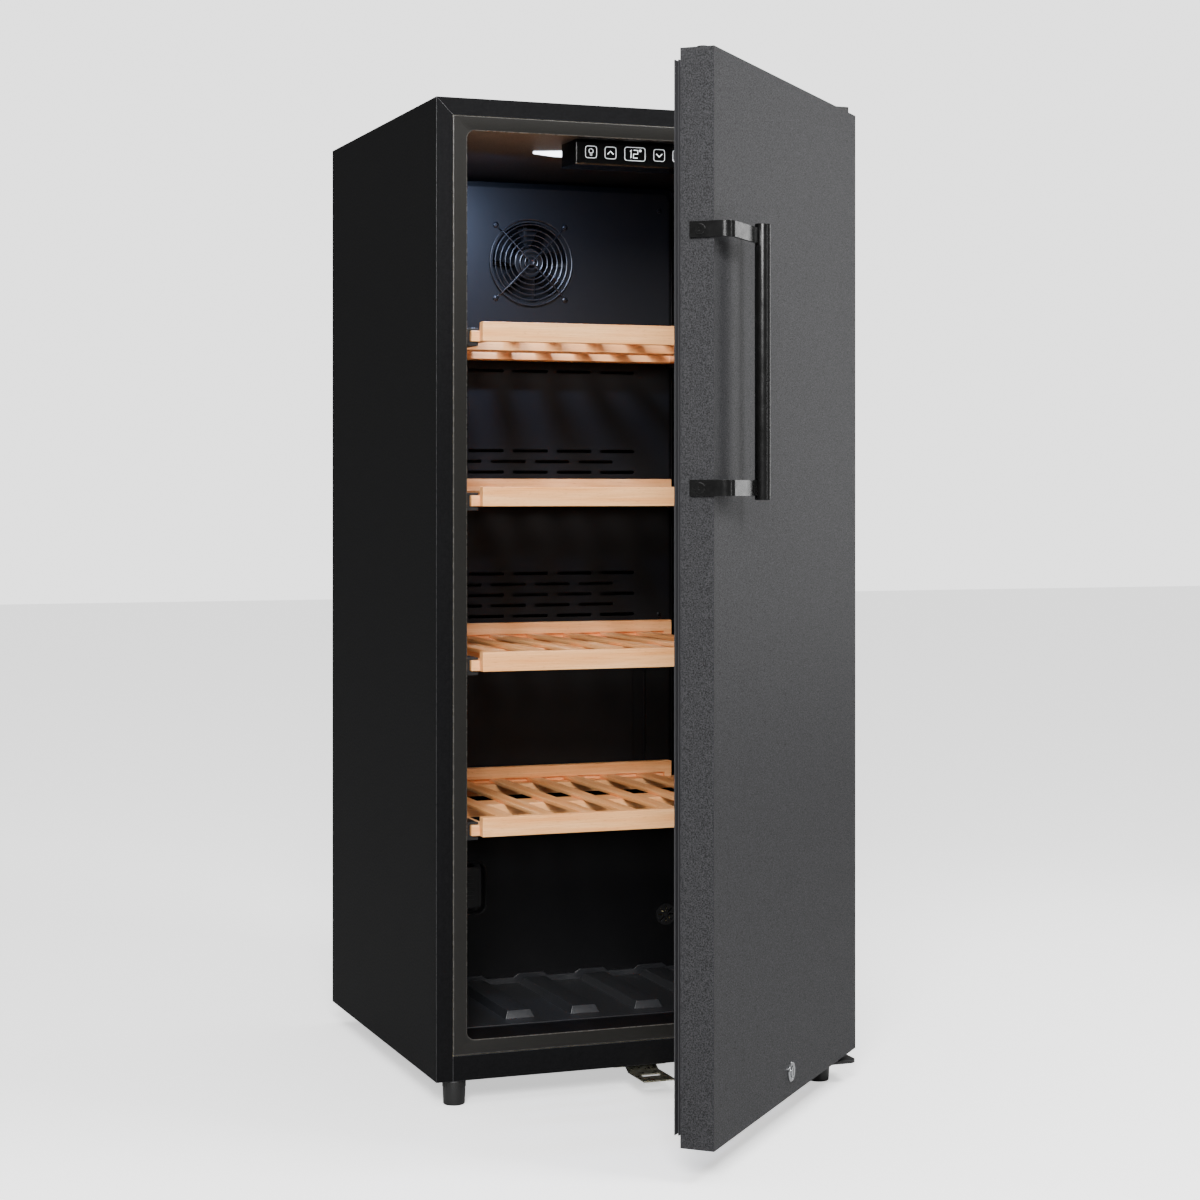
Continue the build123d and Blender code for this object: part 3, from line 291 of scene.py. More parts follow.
def grown(name, group, values, seeds=()):
    """Runs a tree on an object whose mesh is the seed points, and keeps the plain mesh."""
    mesh = bpy.data.meshes.new(name)
    mesh.from_pydata([tuple(seed) for seed in seeds], [], [])
    obj = bpy.data.objects.new(name, mesh)
    bpy.context.collection.objects.link(obj)
    modifier = obj.modifiers.new(group.name, "NODES")
    modifier.node_group = group
    for item in group.interface.items_tree:
        if item.in_out == "INPUT" and item.name in values:
            modifier[item.identifier] = values[item.name]
    settle(obj)
    obj.data.shade_smooth()
    obj.data.set_sharp_from_angle(angle=sharp_fold)
    return obj


guard_low, guard_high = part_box("fan_guard")
guard_centre = (Vector(guard_low) + Vector(guard_high)) / 2
fan_plane_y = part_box("evaporator_cover")[0][1]
guard_radius = (guard_high[0] - guard_low[0]) / 2

rings, given = tree_with("guard_rings", [
    ("Rings", "Int", 8), ("Outer radius", "Float", 0.06), ("Ring pitch", "Float", 0.0065),
    ("Wire radius", "Float", 0.001), ("Centre", "Vector", None), ("Material", "Material", None)])
points = add(rings, "GeometryNodeMeshLine", {
    "Count": given["Rings"], "Start Location": given["Centre"], "Offset": (0, 0, 0)})
number = add(rings, "GeometryNodeInputIndex")
inward = add(rings, "ShaderNodeMath", {
    0: number.outputs["Index"], 1: given["Ring pitch"]}, operation="MULTIPLY")
reach = add(rings, "ShaderNodeMath", {
    0: given["Outer radius"], 1: inward.outputs[0]}, operation="SUBTRACT")
circle = add(rings, "GeometryNodeCurvePrimitiveCircle", {"Resolution": 72, "Radius": 1.0})
upright = add(rings, "FunctionNodeEulerToRotation", {"Euler": (math.radians(90), 0, 0)})
ringed = add(rings, "GeometryNodeInstanceOnPoints", {
    "Points": points.outputs["Mesh"], "Instance": circle.outputs["Curve"],
    "Rotation": upright.outputs["Rotation"], "Scale": reach.outputs[0]})
joined = add(rings, "GeometryNodeRealizeInstances", {"Geometry": ringed.outputs["Instances"]})
section = add(rings, "GeometryNodeCurvePrimitiveCircle", {
    "Resolution": 8, "Radius": given["Wire radius"]})
wires = add(rings, "GeometryNodeCurveToMesh", {
    "Curve": joined.outputs["Geometry"], "Profile Curve": section.outputs["Curve"]})
close_tree(rings, wires.outputs["Mesh"], given["Material"])

wire_radius = 1.0 * mm
ring_count = 8
ring_pitch = 7.5 * mm
ring_y = guard_low[1] + wire_radius
guard = grown("fan_guard_rings", rings, {
    "Rings": ring_count, "Outer radius": guard_radius - wire_radius, "Ring pitch": ring_pitch,
    "Wire radius": wire_radius, "Centre": (guard_centre.x, ring_y, guard_centre.z),
    "Material": guard_wire})


def pipe(name, routes, radius, sides=4):
    """Round wires along straight or bent routes, each (points, closed), as one mesh."""
    curve = bpy.data.curves.new(name, "CURVE")
    curve.dimensions = "3D"
    curve.bevel_depth = radius
    curve.bevel_resolution = sides
    curve.use_fill_caps = True
    for route, closed in routes:
        spline = curve.splines.new("POLY")
        spline.points.add(len(route) - 1)
        for point, place in zip(spline.points, route):
            point.co = (*place, 1)
        spline.use_cyclic_u = closed
    source = bpy.data.objects.new(name, curve)
    bpy.context.collection.objects.link(source)
    graph = bpy.context.evaluated_depsgraph_get()
    mesh = bpy.data.meshes.new_from_object(source.evaluated_get(graph))
    bpy.data.objects.remove(source)
    obj = bpy.data.objects.new(name, mesh)
    bpy.context.collection.objects.link(obj)
    mesh.shade_smooth()
    return obj


sharp_turned = math.radians(30)


def lathe(name, outline, centre, facing, steps=48):
    """A round piece turned about an axis: the outline's points are (radius, height)."""
    side = Vector((0, 0, 1)) if abs(facing[2]) < 0.9 else Vector((1, 0, 0))
    up = Vector(facing).normalized()
    across = up.cross(side).normalized()
    other = up.cross(across)
    work = bmesh.new()
    loops = []
    for radius, height in outline:
        middle = Vector(centre) + up * height
        if radius == 0:
            loops.append([work.verts.new(middle)])
            continue
        turns = [2 * math.pi * i / steps for i in range(steps)]
        loops.append([
            work.verts.new(middle + (across * math.cos(turn) + other * math.sin(turn)) * radius)
            for turn in turns])
    for low, high in zip(loops, loops[1:]):
        for i in range(steps):
            j = (i + 1) % steps
            corners = (
                low[i % len(low)], low[j % len(low)], high[j % len(high)], high[i % len(high)])
            work.faces.new(list(dict.fromkeys(corners)))
    bmesh.ops.recalc_face_normals(work, faces=work.faces)
    mesh = bpy.data.meshes.new(name)
    work.to_mesh(mesh)
    work.free()
    mesh.shade_smooth()
    mesh.set_sharp_from_angle(angle=sharp_turned)
    obj = bpy.data.objects.new(name, mesh)
    bpy.context.collection.objects.link(obj)
    return obj


def merged(name, objs):
    """Several meshes as one object."""
    work = bmesh.new()
    for obj in objs:
        work.from_mesh(obj.data)
    mesh = bpy.data.meshes.new(name)
    work.to_mesh(mesh)
    work.free()
    for obj in objs:
        bpy.data.objects.remove(obj)
    whole = bpy.data.objects.new(name, mesh)
    bpy.context.collection.objects.link(whole)
    mesh.set_sharp_from_angle(angle=sharp_fold)
    return whole


half_screws = 52.5 * mm
arm_radius = 1.05 * mm
arm_y = ring_y - 1.6 * mm
eye_y = fan_plane_y - 1.1 * mm
eye_radius = 3.2 * mm
eye_steps = 20
arms = []
guard_parts = [guard]
for across in (-1, 1):
    for up in (-1, 1):
        def arm_point(reach, y):
            return (guard_centre.x + across * reach, y, guard_centre.z + up * reach)

        arms.append(([
            arm_point(2 * mm, arm_y),
            arm_point(half_screws - 8 * mm, arm_y),
            arm_point(half_screws - 5 * mm, fan_plane_y - 1.2 * mm),
            arm_point(half_screws - 2.2 * mm, eye_y)], False))
        eye = arm_point(half_screws, eye_y)
        turns = [2 * math.pi * i / eye_steps for i in range(eye_steps)]
        arms.append(([(eye[0] + eye_radius * math.cos(turn), eye_y,
                       eye[2] + eye_radius * math.sin(turn)) for turn in turns], True))
guard_parts.append(pipe("guard_arms", arms, arm_radius))
guard_parts.append(lathe("guard_hub", [
    (0, 0.6 * mm), (3.6 * mm, 0.6 * mm), (4.6 * mm, 1.2 * mm), (4.6 * mm, 2.2 * mm),
    (3.8 * mm, 2.8 * mm), (2.4 * mm, 2.4 * mm), (0, 2.0 * mm)],
    (guard_centre.x, ring_y, guard_centre.z), (0, -1, 0)))
show(merged("fan_guard_welded", guard_parts), guard_wire, ["fan_guard"])

# ---------------------------------------------------------------------------------------------
# Screws: pan heads with a cross recess hold the fan, its guard and the duct cover. They are
# cold-headed steel, blackened, all of one size.
# ---------------------------------------------------------------------------------------------
black_screw = mottled(
    "blackened_steel", 0.5 * mm, ("#2c2c2e", "#3a3a3c"), (0.3, 0.45), Metallic=1.0)


def cross_head(name, radius, height, facing):
    """One screw head, its seat at the origin, with a cross-shaped recess."""
    head = lathe(name, [
        (0, 0), (radius * 0.98, 0), (radius, height * 0.2), (radius * 0.9, height * 0.7),
        (radius * 0.62, height * 0.96), (0, height)], (0, 0, 0), facing, 28)
    cutter_mesh = bpy.data.meshes.new(name + "_recess")
    work = bmesh.new()
    up = Vector(facing).normalized()
    turn = up.to_track_quat("Z", "Y").to_matrix().to_4x4()
    for wide, deep in ((1.1, 0.3), (0.3, 1.1)):
        size = Matrix.Diagonal((radius * wide, radius * deep, height * 0.9, 1))
        bmesh.ops.create_cube(work, size=1, matrix=turn @ Matrix.Translation((0, 0, height)) @ size)
    work.to_mesh(cutter_mesh)
    work.free()
    cutter = bpy.data.objects.new(name + "_recess", cutter_mesh)
    bpy.context.collection.objects.link(cutter)
    cut = head.modifiers.new("recess", "BOOLEAN")
    cut.operation = "DIFFERENCE"
    cut.solver = "EXACT"
    cut.use_self = True
    cut.object = cutter
    settle(head)
    bpy.data.objects.remove(cutter)
    return head


screws, given = tree_with("screws_on_points", [
    ("Head", "Object", None), ("Material", "Material", None)])
head_info = add(screws, "GeometryNodeObjectInfo", {"Object": given["Head"]})
placed = add(screws, "GeometryNodeInstanceOnPoints", {
    "Points": given["Geometry"], "Instance": head_info.outputs["Geometry"]})
close_tree(screws, placed.outputs["Instances"], given["Material"])

front_head = cross_head("front_screw_head", 3.5 * mm, 1.9 * mm, (0, -1, 0))
screw_low, screw_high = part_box("duct_screws")
inset = 3.6 * mm
eye_height = 1.6 * mm
seats = []
for x in (screw_low[0] + inset, screw_high[0] - inset):
    for z in (screw_low[2] + inset, screw_high[2] - inset):
        seats.append((x, fan_plane_y, z))
for x in (guard_centre.x - half_screws, guard_centre.x + half_screws):
    for z in (guard_centre.z - half_screws, guard_centre.z + half_screws):
        seats.append((x, fan_plane_y - eye_height, z))
show(grown("duct_screw_heads", screws, {"Head": front_head, "Material": black_screw}, seats),
     black_screw, ["duct_screws"])
bpy.data.objects.remove(front_head)

# ---------------------------------------------------------------------------------------------
# Controls: a gloss black housing under the ceiling with a touch panel of smoked acrylic. The
# signs on it are white prints lit from behind, round a two-digit display.
# ---------------------------------------------------------------------------------------------
gloss_black = mottled(
    "polished_abs_black", 3.0 * mm, ("#050505", "#080808"), (0.08, 0.14), IOR=1.54)
eased("control_housing", gloss_black, 1.2 * mm, 3)
eased("control_glass", gloss_black, 0.6 * mm, 3)

lit_print, tree, shader = surface("backlit_white_print", Emission_Strength=1.1)
haze = grain(tree, 2.0 * mm)
tree.links.new(ramp(tree, haze.outputs["Fac"], linear("#dfe6ee"), linear("#ffffff")),
               shader.inputs["Base Color"])
tree.links.new(ramp(tree, haze.outputs["Fac"], linear("#e4ecf5"), linear("#ffffff")),
               shader.inputs["Emission Color"])

glass_low, glass_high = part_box("control_glass")
sign_y = glass_low[1]
sign_z = (glass_low[2] + glass_high[2]) / 2
sign_x = (glass_low[0] + glass_high[0]) / 2


def rounded(width, height, radius):
    """Points round a rectangle with rounded corners, centred on the origin."""
    corners = []
    steps = 4
    for cx, cz, start in ((1, 1, 0), (-1, 1, 90), (-1, -1, 180), (1, -1, 270)):
        for i in range(steps + 1):
            turn = math.radians(start + 90 * i / steps)
            corners.append((cx * (width / 2 - radius) + radius * math.cos(turn),
                            cz * (height / 2 - radius) + radius * math.sin(turn)))
    return corners


def sign_route(points, x, closed=False):
    """Flat points in millimetres about a sign's middle, as a route on the panel."""
    return ([(sign_x + (x + px) * mm, sign_y, sign_z + pz * mm) for px, pz in points], closed)


lamp_x, up_x, down_x, power_x = -60, -33.5, 33.5, 60
lamp_sign = [(-2.2, -1), (-3, 1), (-2.4, 3.2), (0, 4.2), (2.4, 3.2), (3, 1), (2.2, -1)]
power_arc = [(3.6 * math.sin(math.radians(turn)), 3.6 * math.cos(math.radians(turn)) - 0.4)
             for turn in range(40, 321, 20)]
strokes = [sign_route(rounded(15, 15, 3), x, True) for x in (lamp_x, up_x, down_x, power_x)]
strokes += [
    sign_route(rounded(28, 17, 3), 0, True),
    sign_route(lamp_sign, lamp_x, True),
    sign_route([(-1.6, -2.6), (1.6, -2.6)], lamp_x),
    sign_route([(-1.2, -4), (1.2, -4)], lamp_x),
    sign_route(power_arc, power_x),
    sign_route([(0, 0.6), (0, 4.2)], power_x)]
outline_print = pipe("sign_outlines", strokes, 0.24 * mm, 1)
digits = [
    sign_route([(-4, -1.8), (0, 2.2), (4, -1.8)], up_x),
    sign_route([(-4, 1.8), (0, -2.2), (4, 1.8)], down_x),
    sign_route([(-6.6, 3.2), (-5.0, 5.2), (-5.6, -5.2)], 0),
    sign_route([(-1.6, 5.0), (4.0, 5.0), (3.8, 0), (-2.0, 0), (-2.4, -5.0), (3.4, -5.0)], 0),
    sign_route([(7.4 + px, 4.6 + pz) for px, pz in rounded(2.0, 2.0, 0.9)], 0, True)]
digit_print = pipe("display_digits", digits, 0.55 * mm, 1)
signs = merged("control_signs", [outline_print, digit_print])
signs.data.materials.append(lit_print)
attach(signs, "cabinet")

board_laminate = mottled(
    "solder_masked_laminate", 1.5 * mm, ("#0e3a20", "#165030"), (0.3, 0.45), stretch=(6, 1, 1),
    IOR=1.5)
coat("control_board", board_laminate)
coat("lamp_board", board_laminate)

# ---------------------------------------------------------------------------------------------
# Lamp: a frosted acrylic lens over a row of light-emitting diodes in the ceiling. It glows
# a cool white.
# ---------------------------------------------------------------------------------------------
lamp_glow, tree, shader = surface("frosted_acrylic_lit", IOR=1.49, Emission_Strength=7.0)
frost = grain(tree, 6.0 * mm)
tree.links.new(ramp(tree, frost.outputs["Fac"], linear("#d6e4ff"), linear("#ffffff")),
               shader.inputs["Emission Color"])
tree.links.new(ramp(tree, frost.outputs["Fac"], linear("#e8eef8"), linear("#ffffff")),
               shader.inputs["Base Color"])
tree.links.new(spread(tree, frost.outputs["Fac"], 0.4, 0.6), shader.inputs["Roughness"])
eased("lamp_lens", lamp_glow, 0.8 * mm, 3)

# ---------------------------------------------------------------------------------------------
# Shelves: frames of planed, unvarnished beech, glued at the corners. Seven slats stand in grooves
# in the front and back rails. Beech is pinkish, with short dark flecks along the grain.
# ---------------------------------------------------------------------------------------------


def beech(name, along):
    """Planed beech whose grain runs along one axis: 0 for X or 1 for Y."""
    material, tree, shader = surface(name, IOR=1.5)

    def stretched(length):
        return [length if axis == along else 1 for axis in range(3)]

    bands = grain(tree, 9 * mm, stretched(26), 3.0)
    # Flecks are about 0.4 mm wide on real beech; they are drawn 1 mm wide so that they show.
    flecks = grain(tree, 1.0 * mm, stretched(9), 2.0)
    fibres = grain(tree, 0.7 * mm, stretched(60), 2.0)
    toned = ramp(tree, bands.outputs["Fac"], linear("#f0a25c"), linear("#ffc588"), 0.3, 0.7)
    dark = ramp(tree, flecks.outputs["Fac"], linear("#ffffff"), linear("#b87f58"), 0.6, 0.74)
    fibre = ramp(tree, fibres.outputs["Fac"], linear("#e6d3c0"), linear("#ffffff"), 0.3, 0.6)
    flecked = add(tree, "ShaderNodeMix", {0: 0.55, 6: toned, 7: dark},
                  data_type="RGBA", blend_type="MULTIPLY")
    fibred = add(tree, "ShaderNodeMix", {0: 0.6, 6: flecked.outputs[2], 7: fibre},
                 data_type="RGBA", blend_type="MULTIPLY")
    tree.links.new(fibred.outputs[2], shader.inputs["Base Color"])
    tree.links.new(spread(tree, bands.outputs["Fac"], 0.5, 0.62), shader.inputs["Roughness"])
    relief(tree, shader, fibres.outputs["Fac"], 0.05 * mm, 0.6)
    return material


beech_across = beech("planed_beech_rails", 0)
beech_lengthways = beech("planed_beech_slats", 1)

slats, given = tree_with("slat_row", [
    ("Count", "Int", 7), ("Pitch", "Float", 0.056), ("Width", "Float", 0.03),
    ("Thickness", "Float", 0.01), ("Length", "Float", 0.4), ("Edge radius", "Float", 0.0012),
    ("First end", "Vector", None), ("Material", "Material", None)])
step = add(slats, "ShaderNodeCombineXYZ", {"X": given["Pitch"]})
row = add(slats, "GeometryNodeMeshLine", {
    "Count": given["Count"], "Start Location": given["First end"], "Offset": step.outputs[0]})
run = add(slats, "ShaderNodeCombineXYZ", {"Y": given["Length"]})
spine = add(slats, "GeometryNodeCurvePrimitiveLine", {"End": run.outputs[0]})
blank = add(slats, "GeometryNodeCurvePrimitiveQuadrilateral", {
    "Width": given["Width"], "Height": given["Thickness"]})
planed = add(slats, "GeometryNodeFilletCurve", {
    "Curve": blank.outputs["Curve"], "Radius": given["Edge radius"], "Count": 3}, mode="POLY")
strip = add(slats, "GeometryNodeCurveToMesh", {
    "Curve": spine.outputs["Curve"], "Profile Curve": planed.outputs["Curve"], "Fill Caps": True})
laid = add(slats, "GeometryNodeInstanceOnPoints", {
    "Points": row.outputs["Mesh"], "Instance": strip.outputs["Mesh"]})
close_tree(slats, laid.outputs["Instances"], given["Material"])

slat_count = 7
slat_width = 22 * mm
slat_to_side_rail = 10 * mm
front_rail = 15 * mm
for number in range(1, 5):
    low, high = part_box(f"shelf_{number}_slats")
    row_of_slats = grown(f"shelf_{number}_slat_row", slats, {
        "Count": slat_count, "Pitch": (high[0] - low[0] - slat_width) / (slat_count - 1),
        "Width": slat_width, "Thickness": high[2] - low[2], "Length": high[1] - low[1],
        "Edge radius": 1.0 * mm, "Material": beech_lengthways,
        "First end": (low[0] + slat_width / 2, low[1], (low[2] + high[2]) / 2)})
    show(row_of_slats, beech_lengthways, [f"shelf_{number}_slats"])
    frame_piece = eased(f"shelf_{number}_frame", beech_across, 1.2 * mm, 3)
    frame_piece.data.materials.append(beech_lengthways)
    # The side rails run front to back, so their grain does too.
    side_start = abs(low[0] - slat_to_side_rail)
    front_rail_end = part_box(f"shelf_{number}_frame")[0][1] + front_rail
    for face in frame_piece.data.polygons:
        if abs(face.center.x) > side_start and face.center.y > front_rail_end:
            face.material_index = 1

# ---------------------------------------------------------------------------------------------
# Runners: black channels moulded in polypropylene and clipped to the liner's side walls. The
# shelves' side rails slide in them.
# ---------------------------------------------------------------------------------------------
runner_plastic = mottled(
    "moulded_polypropylene_black", 1.4 * mm, ("#111112", "#181819"), (0.42, 0.55),
    height=0.03 * mm, IOR=1.5)
eased("shelf_runners", runner_plastic, 0.5 * mm)

# ---------------------------------------------------------------------------------------------
# Bottle tray: a mat vacuum formed in black polystyrene, with four tapered ridges that keep the
# bottles apart and a stepped lip against the hump.
# ---------------------------------------------------------------------------------------------
tray_sheet = mottled(
    "formed_polystyrene_black", 1.6 * mm, ("#1e1f21", "#27282b"), (0.28, 0.4), height=0.04 * mm,
    IOR=1.55)
eased("bottle_tray", tray_sheet, 1.8 * mm, 4, corner=12)

# ---------------------------------------------------------------------------------------------
# Filter and drain: a charcoal cartridge in a square cup, and a round insert with radial slots,
# both moulded in black polypropylene and pushed into the hump.
# ---------------------------------------------------------------------------------------------
eased("charcoal_filter", runner_plastic, 0.8 * mm, 2)
eased("drain_grille", runner_plastic, 0.3 * mm, 2)

ribs, given = tree_with("cartridge_ribs", [
    ("Count", "Int", 7), ("Pitch", "Float", 0.006), ("Rib", "Vector", None),
    ("First rib", "Vector", None), ("Material", "Material", None)])
step = add(ribs, "ShaderNodeCombineXYZ", {"Z": given["Pitch"]})
row = add(ribs, "GeometryNodeMeshLine", {
    "Count": given["Count"], "Start Location": given["First rib"], "Offset": step.outputs[0]})
rib = add(ribs, "GeometryNodeMeshCube", {"Size": given["Rib"]})
laid = add(ribs, "GeometryNodeInstanceOnPoints", {
    "Points": row.outputs["Mesh"], "Instance": rib.outputs["Mesh"]})
close_tree(ribs, laid.outputs["Instances"], given["Material"])

filter_low, filter_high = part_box("charcoal_filter")
rib_count = 7
rib_pitch = 5.6 * mm
rib_size = (38 * mm, 0.8 * mm, 1.6 * mm)
rib_set_back = 3.8 * mm
filter_ribs = grown("cartridge_ribs", ribs, {
    "Count": rib_count, "Pitch": rib_pitch, "Rib": rib_size,
    "First rib": ((filter_low[0] + filter_high[0]) / 2, filter_low[1] + rib_set_back,
                  (filter_low[2] + filter_high[2]) / 2 - rib_pitch * (rib_count - 1) / 2),
    "Material": runner_plastic})
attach(filter_ribs, "cabinet")

# ---------------------------------------------------------------------------------------------
# Door: one folded steel skin with a graphite finish of fine metallic grain, closed by moulded
# end caps, with a polystyrene panel on the inside.
# ---------------------------------------------------------------------------------------------
lock_joint = next(joint for joint in frame["joints"] if joint["name"] == "lock_turn")
hinge_joint = next(joint for joint in frame["joints"] if joint["name"] == "door_hinge")
door_out = Vector(lock_joint["axis"]).normalized()
door_along = Vector((-door_out.y, door_out.x, 0))
hinge_axis = Vector(hinge_joint["pos_m"])
door_place = Matrix.Translation((hinge_axis.x, hinge_axis.y, 0)) @ Matrix((
    (door_along.x, -door_out.x, 0, 0),
    (door_along.y, -door_out.y, 0, 0),
    (0, 0, 1, 0),
    (0, 0, 0, 1)))


def door_box(name):
    """A door piece's lowest and highest corner: along the door, into it, and up."""
    back = door_place.inverted()
    corners = [back @ vertex.co for vertex in frame["nodes"][name].data.vertices]
    return ([min(c[i] for c in corners) for i in range(3)],
            [max(c[i] for c in corners) for i in range(3)])


# Graphite paint: metal flakes about 0.2 mm wide in a dark lacquer, drawn at 1.4 mm so that
# their glitter shows, over a faint peel.
graphite = mottled(
    "graphite_flake_paint", 1.4 * mm, ("#1b1b1c", "#3d3d3f"), (0.6, 0.46), span=(0.34, 0.7),
    height=0.04 * mm, strength=0.4, Metallic=0.12, IOR=1.5, Specular_IOR_Level=0.1)
eased("door_skin", graphite, 0.8 * mm, 3)

cap_plastic = mottled(
    "moulded_abs_black", 1.0 * mm, ("#0e0e0e", "#151515"), (0.35, 0.48), height=0.03 * mm,
    IOR=1.54)
coat("door_end_caps", cap_plastic)

door_sheet = mottled(
    "polystyrene_sheet_grey", 1.3 * mm, ("#26262a", "#2e2e31"), (0.35, 0.45), height=0.03 * mm,
    IOR=1.55)
eased("door_inner_panel", door_sheet, 0.3 * mm)

# ---------------------------------------------------------------------------------------------
# Seal: an extruded profile of soft dark vinyl with a magnet strip inside, welded at its mitred
# corners. Its sides are bellows of three lips with grooves between them.
# ---------------------------------------------------------------------------------------------
seal_vinyl = mottled(
    "extruded_vinyl_black", 1.5 * mm, ("#2a2a2c", "#343436"), (0.34, 0.46), height=0.04 * mm,
    IOR=1.5)

seal_low, seal_high = door_box("door_seal")
seal_depth = seal_high[1] - seal_low[1]
# Across the profile from its outer side, and out from the door's inner face, in millimetres.
half_profile = [
    (3.0, 0), (1.2, 0.6), (1.0, 2.0), (4.5, 2.6), (4.8, 3.9), (1.0, 4.6), (0.1, 5.6), (0.8, 6.8),
    (4.8, 7.4), (5.0, 8.5), (1.4, 9.1), (0.1, 10.2), (0.6, 11.3), (2.5, 11.7)]
profile_width, profile_depth = 20, 11.7
seal_profile = half_profile + [
    (profile_width - across, out) for across, out in reversed(half_profile)]
work = bmesh.new()
loops = []
for along, up in ((0, 0), (1, 0), (1, 1), (0, 1)):
    loop = []
    for across, out in seal_profile:
        a = across * mm
        x = seal_low[0] + a if along == 0 else seal_high[0] - a
        z = seal_low[2] + a if up == 0 else seal_high[2] - a
        y = seal_low[1] + out * seal_depth / profile_depth
        loop.append(work.verts.new(door_place @ Vector((x, y, z))))
    loops.append(loop)
count = len(seal_profile)
for i in range(4):
    first, second = loops[i], loops[(i + 1) % 4]
    for k in range(count):
        work.faces.new((first[k], first[(k + 1) % count], second[(k + 1) % count], second[k]))
bmesh.ops.recalc_face_normals(work, faces=work.faces)
seal_mesh = bpy.data.meshes.new("door_seal_profile")
work.to_mesh(seal_mesh)
work.free()
seal_mesh.shade_smooth()
sharp_lip = math.radians(50)
seal_mesh.set_sharp_from_angle(angle=sharp_lip)
seal = bpy.data.objects.new("door_seal_profile", seal_mesh)
bpy.context.collection.objects.link(seal)
show(seal, seal_vinyl, ["door_seal"])

# ---------------------------------------------------------------------------------------------
# Handle: two flat steel bars bent round the door's free edge, each let into a round steel tube.
# All are lacquered gloss black. A round cover hides each screw on the edge.
# ---------------------------------------------------------------------------------------------
lacquer = mottled(
    "gloss_lacquer_black", 12 * mm, ("#070707", "#0c0c0c"), (0.2, 0.28), IOR=1.5,
    Specular_IOR_Level=0.3)
eased("handle_arms", lacquer, 0.6 * mm, 3)
eased("handle_bar", lacquer, 0)

screw_low, screw_high = door_box("handle_screws")
cover_radius = 6.2 * mm
cover_height = 1.4 * mm
covers = []
for z in (screw_low[2] + cover_radius, screw_high[2] - cover_radius):
    middle = door_place @ Vector(
        (screw_low[0] + cover_height, (screw_low[1] + screw_high[1]) / 2, z))
    covers.append(lathe("handle_screw_cover", [
        (0, 0), (cover_radius, 0), (cover_radius, cover_height / 2),
        (cover_radius - 0.7 * mm, cover_height), (2.2 * mm, cover_height),
        (1.6 * mm, 0.8 * mm), (0, 0.8 * mm)], middle, -door_along, 40))
show(merged("handle_screw_covers", covers), lacquer, ["handle_screws"])

# ---------------------------------------------------------------------------------------------
# Lock: a die-cast zinc collar and cylinder, bright plated, with a keyway. The cam behind it and
# the keeper under the cabinet are pressed from plated steel sheet.
# ---------------------------------------------------------------------------------------------
bright_plate = mottled(
    "bright_nickel_plate", 0.5 * mm, ("#8f9193", "#b2b4b6"), (0.1, 0.2), stretch=(1, 1, 12),
    Metallic=1.0)
coat("lock_cylinder", bright_plate)

lock_low, lock_high = door_box("lock_housing")
lock_middle = door_place @ Vector((
    (lock_low[0] + lock_high[0]) / 2, lock_low[1], (lock_low[2] + lock_high[2]) / 2))
collar = lathe("lock_collar", [
    (7.1 * mm, -12 * mm), (9.4 * mm, -12 * mm), (9.4 * mm, -2.5 * mm), (12 * mm, -2.5 * mm),
    (12 * mm, -1.4 * mm), (11.2 * mm, -0.5 * mm), (9.6 * mm, 0), (8.6 * mm, -0.1 * mm),
    (7.9 * mm, -0.7 * mm), (7.1 * mm, -0.9 * mm), (7.1 * mm, -12 * mm)],
    lock_middle, door_out, 56)
show(collar, bright_plate, ["lock_housing"])

passivated = mottled(
    "clear_passivated_zinc", 7 * mm, ("#c3bfa2", "#dcdacb"), (0.24, 0.36), span=(0.35, 0.65),
    Metallic=1.0)
eased("lock_keeper", passivated, 0.4 * mm)
coat("lock_cam", passivated)

# ---------------------------------------------------------------------------------------------
# Hinges: pressed steel plates in satin black with turned pins. A moulded cap covers the upper
# one, and moulded plugs close the spare holes for a door hung on the other side.
# ---------------------------------------------------------------------------------------------
hinge_coat = mottled("satin_black_paint", 2.0 * mm, ("#0c0c0c", "#141414"), (0.3, 0.4), IOR=1.5)
eased("lower_hinge", hinge_coat, 0.4 * mm)
coat("upper_hinge", hinge_coat)
eased("hinge_cap", cap_plastic, 0.9 * mm, 3)


def plug(name, node):
    """A low domed plug on a CAD plug's place."""
    low, high = (Vector(corner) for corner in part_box(node))
    radius, height = (high.x - low.x) / 2, high.z - low.z
    dome = [(0, 0), (radius, 0), (radius, height * 0.3), (radius * 0.93, height * 0.75),
            (radius * 0.75, height), (radius * 0.5, height * 0.82), (0, height * 0.75)]
    base = Vector(((low.x + high.x) / 2, (low.y + high.y) / 2, low.z))
    show(lathe(name, dome, base, (0, 0, 1), 40), cap_plastic, [node])


plug("cabinet_plug", "top_plug")
plug("door_hole_plug", "door_plug")

# ---------------------------------------------------------------------------------------------
# Feet: moulded pads on threaded studs at the front, with a ribbed grip to turn them by, and
# plain fixed pads at the back.
# ---------------------------------------------------------------------------------------------
grip, given = tree_with("grip_ribs", [
    ("Count", "Int", 24), ("Radius", "Float", 0.0145), ("Rib", "Vector", None),
    ("Centre", "Vector", None), ("Material", "Material", None)])
circle = add(grip, "GeometryNodeMeshCircle", {
    "Vertices": given["Count"], "Radius": given["Radius"]})
moved = add(grip, "GeometryNodeTransform", {
    "Geometry": circle.outputs["Mesh"], "Translation": given["Centre"]})
outward = add(grip, "GeometryNodeInputPosition")
from_centre = add(grip, "ShaderNodeVectorMath", {
    0: outward.outputs[0], 1: given["Centre"]}, operation="SUBTRACT")
turned = add(
    grip, "FunctionNodeAlignRotationToVector", {"Vector": from_centre.outputs[0]}, axis="X")
